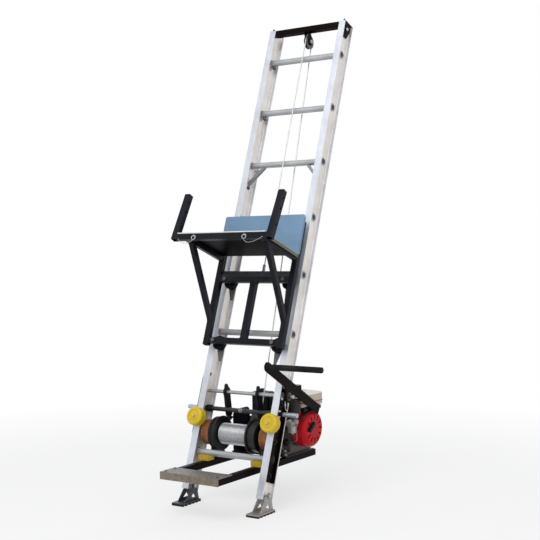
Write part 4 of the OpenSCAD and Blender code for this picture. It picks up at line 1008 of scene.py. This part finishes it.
# Control: collar of the grip, nut of the shaft and the snap hook that hangs on it
SHAFT_UP = 0.305
SHAFT = on_ladder(0.0, 0.0, SHAFT_UP)
GRIP_REACH = Vector((0.0, -0.178, 0.158))
LEVER_FACE = Vector((0.257, 0.0, 0.0))
GRIP_COLLAR = ((0.0, 0.0), (0.0185, 0.0), (0.0195, 0.001), (0.0195, 0.007), (0.0180, 0.0085), (0.0, 0.0085))
GRIP_SIDES = 36
SHAFT_HEX = 0.020
HOOK = SHAFT + Vector((0.242, 0.0, 0.0))
LOOP_RADIUS = 0.0115
LOOP_START = -60.0
LOOP_TURN = 300.0
LOOP_STEPS = 20
LOOP_WIRE = 0.0022
SHANK_WIRE = 0.0024
SHANK = (
    (-0.008, -0.010), (-0.012, -0.020), (-0.012, -0.050), (-0.006, -0.064), (0.004, -0.066),
    (0.010, -0.056), (0.009, -0.030), (0.004, -0.016), (-0.002, -0.0115))
SLEEVE_PLACE = HOOK + Vector((0.0, -0.012, -0.046))
SLEEVE = ((0.0, 0.0), (0.0042, 0.0), (0.0046, 0.001), (0.0046, 0.012), (0.0042, 0.013), (0.0, 0.013))
SMALL_SIDES = 16


def grip_collar(build):
    turned(build, SHAFT + GRIP_REACH + LEVER_FACE, ACROSS, GRIP_COLLAR, GRIP_SIDES)


def shaft_nut(build):
    hex_bolt(build, SHAFT + LEVER_FACE, ACROSS, SHAFT_HEX)


def snap_hook(build):
    loop = []
    for step in range(LOOP_STEPS + 1):
        angle = math.radians(LOOP_START + LOOP_TURN * step / LOOP_STEPS)
        loop.append(HOOK + LOOP_RADIUS * Vector((0.0, math.sin(angle), math.cos(angle))))
    wire(build, loop, LOOP_WIRE)
    wire(build, smooth_path([HOOK + Vector((0.0, y, z)) for y, z in SHANK]), SHANK_WIRE)
    turned(build, SLEEVE_PLACE, UP, SLEEVE, SMALL_SIDES)


made("grip_collar", grip_collar, "rubber", "control_lever")
made("shaft_nut", shaft_nut, "zinc", "control_lever", "dark_bolt")
made("snap_hook", snap_hook, "zinc", "control_lever")


# Engine: seam of the tank, carburettor with its links, canister, bracket, bolts and caps
def around_box(low, high, corner, height, steps=10):
    """A closed rounded rectangle at that height."""
    path = []
    quarters = ((high[0], high[1], 0), (low[0], high[1], 90), (low[0], low[1], 180), (high[0], low[1], 270))
    for x, y, start in quarters:
        inward = Vector((corner if x == low[0] else -corner, corner if y == low[1] else -corner, 0.0))
        for step in range(steps + 1):
            angle = math.radians(start + 90 * step / steps)
            out = corner * Vector((math.cos(angle), math.sin(angle), 0.0))
            path.append(Vector((x, y, height)) + inward + out)
    return path + path[:1]


TANK_CORNER = 0.026
SEAM_UP = 0.024
SEAM_RADIUS = 0.0026
tank_low, tank_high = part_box("fuel_tank")


def tank_seam(build):
    wire(build, around_box(tank_low, tank_high, TANK_CORNER, tank_low[2] + SEAM_UP), SEAM_RADIUS)


made("tank_seam", tank_seam, "red_paint", "ladder")

CARB_X = 0.192
FLANGE_FACE = 0.118
FLANGE = ((0.110, 0.222, 0.352), (FLANGE_FACE, 0.262, 0.396))
CARB_BODY = ((0.170, 0.226, 0.366), (CARB_X, 0.254, 0.390))
CARB_EASE = 0.002
INTAKE_PLACE = Vector((FLANGE_FACE, 0.240, 0.376))
INTAKE = ((0.0, -0.001), (0.013, -0.001), (0.013, 0.058), (0.0, 0.058))
THROAT_PLACE = Vector((CARB_X, 0.202, 0.380))
THROAT = (
    (0.0, 0.0), (0.017, 0.0), (0.0195, 0.002), (0.0195, 0.012), (0.0165, 0.014), (0.0165, 0.046),
    (0.0205, 0.048), (0.0205, 0.056), (0.0, 0.056))
BOWL_PLACE = Vector((CARB_X, 0.232, 0.330))
BOWL = (
    (0.0, -0.007), (0.006, -0.007), (0.006, 0.0), (0.017, 0.0), (0.022, 0.005), (0.022, 0.028),
    (0.0245, 0.029), (0.0245, 0.034), (0.014, 0.035), (0.014, 0.044), (0.0, 0.044))
FLANGE_BOLTS_Y = 0.227
FLANGE_BOLTS_UP = (0.357, 0.391)
SMALL_HEX = 0.008
REAR = Vector((0.0, 1.0, 0.0))
FRONT = Vector((0.0, -1.0, 0.0))


def carburettor(build):
    block(build, *FLANGE, CARB_EASE)
    turned(build, INTAKE_PLACE, ACROSS, INTAKE)
    turned(build, THROAT_PLACE, REAR, THROAT, RING_SIDES)
    turned(build, BOWL_PLACE, UP, BOWL, RING_SIDES)
    block(build, *CARB_BODY, CARB_EASE)
    for up in FLANGE_BOLTS_UP:
        hex_bolt(build, Vector((FLANGE_FACE, FLANGE_BOLTS_Y, up)), ACROSS, SMALL_HEX)


made("carburettor", carburettor, "engine_alloy", "ladder")

LINK_LINE = (
    (0.2130, 0.222, 0.392), (0.2160, 0.226, 0.372), (0.2175, 0.232, 0.330), (0.2100, 0.240, 0.292),
    (0.1600, 0.256, 0.276), (0.1400, 0.270, 0.274))
LINK_RADIUS = 0.0016
LINK_TAB = ((0.2090, 0.214, 0.384), (0.2145, 0.230, 0.398))
TAB_EASE = 0.001
SCREW_PLACE = Vector((CARB_X, 0.222, 0.399))
SCREW = ((0.0, -0.004), (0.003, -0.004), (0.003, 0.006), (0.0075, 0.007), (0.0075, 0.0115), (0.0, 0.0115))
DRAIN_PLUGS_X = (0.094, 0.020)
DRAIN_Y = 0.278
DRAIN_UP = 0.236
DRAIN_HEX = 0.014


def engine_links(build):
    wire(build, smooth_path([Vector(point) for point in LINK_LINE]), LINK_RADIUS, THIN_SIDES)
    block(build, *LINK_TAB, TAB_EASE)
    turned(build, SCREW_PLACE, UP, SCREW, SMALL_SIDES)
    for along in DRAIN_PLUGS_X:
        hex_bolt(build, Vector((along, DRAIN_Y, DRAIN_UP)), FRONT, DRAIN_HEX)


made("engine_links", engine_links, "zinc", "ladder", "bolt_zinc")

CAN_X = 0.216
CAN_Y = 0.218
CAN_UP = 0.418
CAN = (
    (0.0, 0.0), (0.022, 0.0), (0.026, 0.003), (0.028, 0.008), (0.028, 0.078), (0.026, 0.083), (0.022, 0.086),
    (0.0, 0.087))
BANDS_UP = (0.436, 0.486)
BAND = ((0.0278, -0.003), (0.0290, -0.002), (0.0290, 0.002), (0.0278, 0.003), (0.0278, -0.003))
CAN_SIDES = 40
PIPE_PLACE = Vector((0.1835, CAN_Y, 0.470))
PIPE = ((0.0, 0.0), (0.011, 0.0), (0.011, 0.012), (0.0, 0.012))
CAP_SIDES = 20


def exhaust_can(build):
    turned(build, Vector((CAN_X, CAN_Y, CAN_UP)), UP, CAN, CAN_SIDES)
    for up in BANDS_UP:
        turned(build, Vector((CAN_X, CAN_Y, up)), UP, BAND, CAN_SIDES)
    turned(build, PIPE_PLACE, ACROSS, PIPE, CAP_SIDES)


made("exhaust_can", exhaust_can, "cast_metal", "ladder", "soot_steel")

BRACKET = ((0.160, 0.274, 0.4290), (0.236, 0.438, 0.4475))
BRACKET_EASE = 0.002
STRAP_X = 0.2395
STRAP_LINE = ((0.236, 0.4040), (0.300, 0.4210), (0.356, 0.4370))
STRAP_RADIUS = 0.0045
STRAP_SIDES = 12


def tank_bracket(build):
    block(build, *BRACKET, BRACKET_EASE)
    wire(build, smooth_path([Vector((STRAP_X, y, z)) for y, z in STRAP_LINE]), STRAP_RADIUS, STRAP_SIDES)


made("tank_bracket", tank_bracket, "black_paint", "ladder")

GEAR_FACE = Vector((-0.098, 0.0, 0.0))
GEAR_RING = 0.060
GEAR_BOLTS = 6
GEAR_BOLTS_START = 30.0


def case_bolts(build):
    for step in range(GEAR_BOLTS):
        angle = math.radians(GEAR_BOLTS_START + 360.0 / GEAR_BOLTS * step)
        ring = GEAR_RING * Vector((0.0, math.cos(angle), math.sin(angle)))
        hex_bolt(build, CRANK + GEAR_FACE + ring, -ACROSS, SMALL_HEX)


made("case_bolts", case_bolts, "zinc", "ladder", "bolt_zinc")

CYLINDER_TILT = math.radians(10.0)
CYLINDER_WAY = Vector((0.0, -math.cos(CYLINDER_TILT), math.sin(CYLINDER_TILT)))
OIL_CAP_PLACE = CRANK + Vector((0.128, -0.078, -0.072))
OIL_CAP_WAY = Vector((0.0, -0.82, 0.57))
OIL_CAP_SIDES = 24
OIL_CAP = (
    (0.0, -0.006), (0.010, -0.006), (0.010, 0.006), (0.015, 0.007), (0.016, 0.010), (0.016, 0.017),
    (0.0145, 0.019), (0.005, 0.020), (0.005, 0.027), (0.0, 0.028))
CYLINDER_END = 0.168
SPARK_PLUG_PLACE = CRANK + Vector((0.088, 0.0, 0.012)) + CYLINDER_WAY * CYLINDER_END
SPARK_PLUG = (
    (0.0, -0.001), (0.011, -0.001), (0.011, 0.008), (0.0055, 0.009), (0.0055, 0.018), (0.0095, 0.020),
    (0.0105, 0.024), (0.0105, 0.042), (0.0085, 0.048), (0.0, 0.050))
CLEANER_NUT_PLACE = Vector((0.032, 0.214, 0.5255))
CLEANER_NUT = (
    (0.0, -0.001), (0.016, -0.001), (0.017, 0.003), (0.012, 0.005), (0.012, 0.013), (0.010, 0.015),
    (0.0, 0.0155))


def engine_caps(build):
    turned(build, OIL_CAP_PLACE, OIL_CAP_WAY, OIL_CAP, OIL_CAP_SIDES)
    turned(build, SPARK_PLUG_PLACE, CYLINDER_WAY, SPARK_PLUG, CAP_SIDES)
    turned(build, CLEANER_NUT_PLACE, UP, CLEANER_NUT, CAP_SIDES)


made("engine_caps", engine_caps, "black_plastic", "ladder")


# Floor and light
def seen_rays(tree):
    """1 for the rays that show a thing to the camera: straight, mirrored or let through."""
    path = tree.nodes.new("ShaderNodeLightPath")
    rays = path.outputs["Is Camera Ray"]
    for kind in ("Is Glossy Ray", "Is Transmission Ray"):
        seen = tree.nodes.new("ShaderNodeMath")
        seen.operation = "MAXIMUM"
        tree.links.new(rays, seen.inputs[0])
        tree.links.new(path.outputs[kind], seen.inputs[1])
        rays = seen.outputs["Value"]
    return rays


def mix_surface(tree, share, first, second, output):
    """The first shader where the share is 0 and the second where it is 1, as the tree's surface."""
    choose = tree.nodes.new("ShaderNodeMixShader")
    tree.links.new(share, choose.inputs["Fac"])
    tree.links.new(first, choose.inputs[1])
    tree.links.new(second, choose.inputs[2])
    tree.links.new(choose.outputs["Shader"], tree.nodes[output].inputs["Surface"])


FLOOR_HALF = 40.0
NEAR = 1.5
FAR = 3.6
PAPER_SHARE = 0.62


def stage_material():
    """Pale paper that fades to plain white away from the object, with the object's shadow kept on it."""
    finish = Finish("floor_paper", Roughness=0.9, Specular_IOR_Level=0.0)
    fibre = finish.noise(scale=3.0)
    finish.colour(finish.ramp(fibre, [(0.3, (0.84, 0.84, 0.84)), (0.7, (0.87, 0.87, 0.87))]))
    glow = finish.add("ShaderNodeEmission", {"Strength": 1.0})
    distance = finish.add("ShaderNodeVectorMath", {0: finish.place}, operation="LENGTH")
    share = finish.span(distance.outputs["Value"], low=PAPER_SHARE, start=NEAR, stop=FAR)
    tree = finish.material.node_tree
    white = finish.sums("MULTIPLY", share, seen_rays(tree))
    mix_surface(tree, white, finish.shader.outputs["BSDF"], glow.outputs["Emission"], "Material Output")
    return finish.material


floor_mesh = bpy.data.meshes.new("floor")
floor_mesh.from_pydata([(FLOOR_HALF * x, FLOOR_HALF * y, 0) for x, y in CORNERS], [], [(0, 1, 2, 3)])
floor = bpy.data.objects.new("floor", floor_mesh)
scene.collection.objects.link(floor)
floor.data.materials.append(stage_material())

SKY_COLOUR = (0.95, 0.97, 1.0)
SKY_STRENGTH = 0.5
world = bpy.data.worlds.new("studio")
scene.world = world
world.use_nodes = True
tree = world.node_tree
sky = tree.nodes["Background"]
sky.inputs["Color"].default_value = full(SKY_COLOUR)
sky.inputs["Strength"].default_value = SKY_STRENGTH
backdrop = tree.nodes.new("ShaderNodeBackground")
backdrop.inputs["Color"].default_value = full(WHITE)
mix_surface(tree, seen_rays(tree), sky.outputs["Background"], backdrop.outputs["Background"], "World Output")

MIDDLE = Vector((0.0, 0.3, 1.1))


def area_light(name, place, size, power, colour):
    """A square lamp that looks at the middle of the hoist."""
    lamp = bpy.data.lights.new(name, "AREA")
    lamp.size = size
    lamp.energy = power
    lamp.color = colour
    holder = bpy.data.objects.new(name, lamp)
    holder.location = place
    holder.rotation_euler = (MIDDLE - Vector(place)).to_track_quat("-Z", "Y").to_euler()
    scene.collection.objects.link(holder)


area_light("key", place=(0.4, -3.8, 5.2), size=4.0, power=180.0, colour=(1.0, 0.99, 0.97))
area_light("fill", place=(4.6, -1.4, 2.6), size=4.0, power=45.0, colour=(1.0, 0.98, 0.95))
area_light("rim", place=(-1.6, 4.8, 3.8), size=3.6, power=70.0, colour=(0.97, 0.98, 1.0))
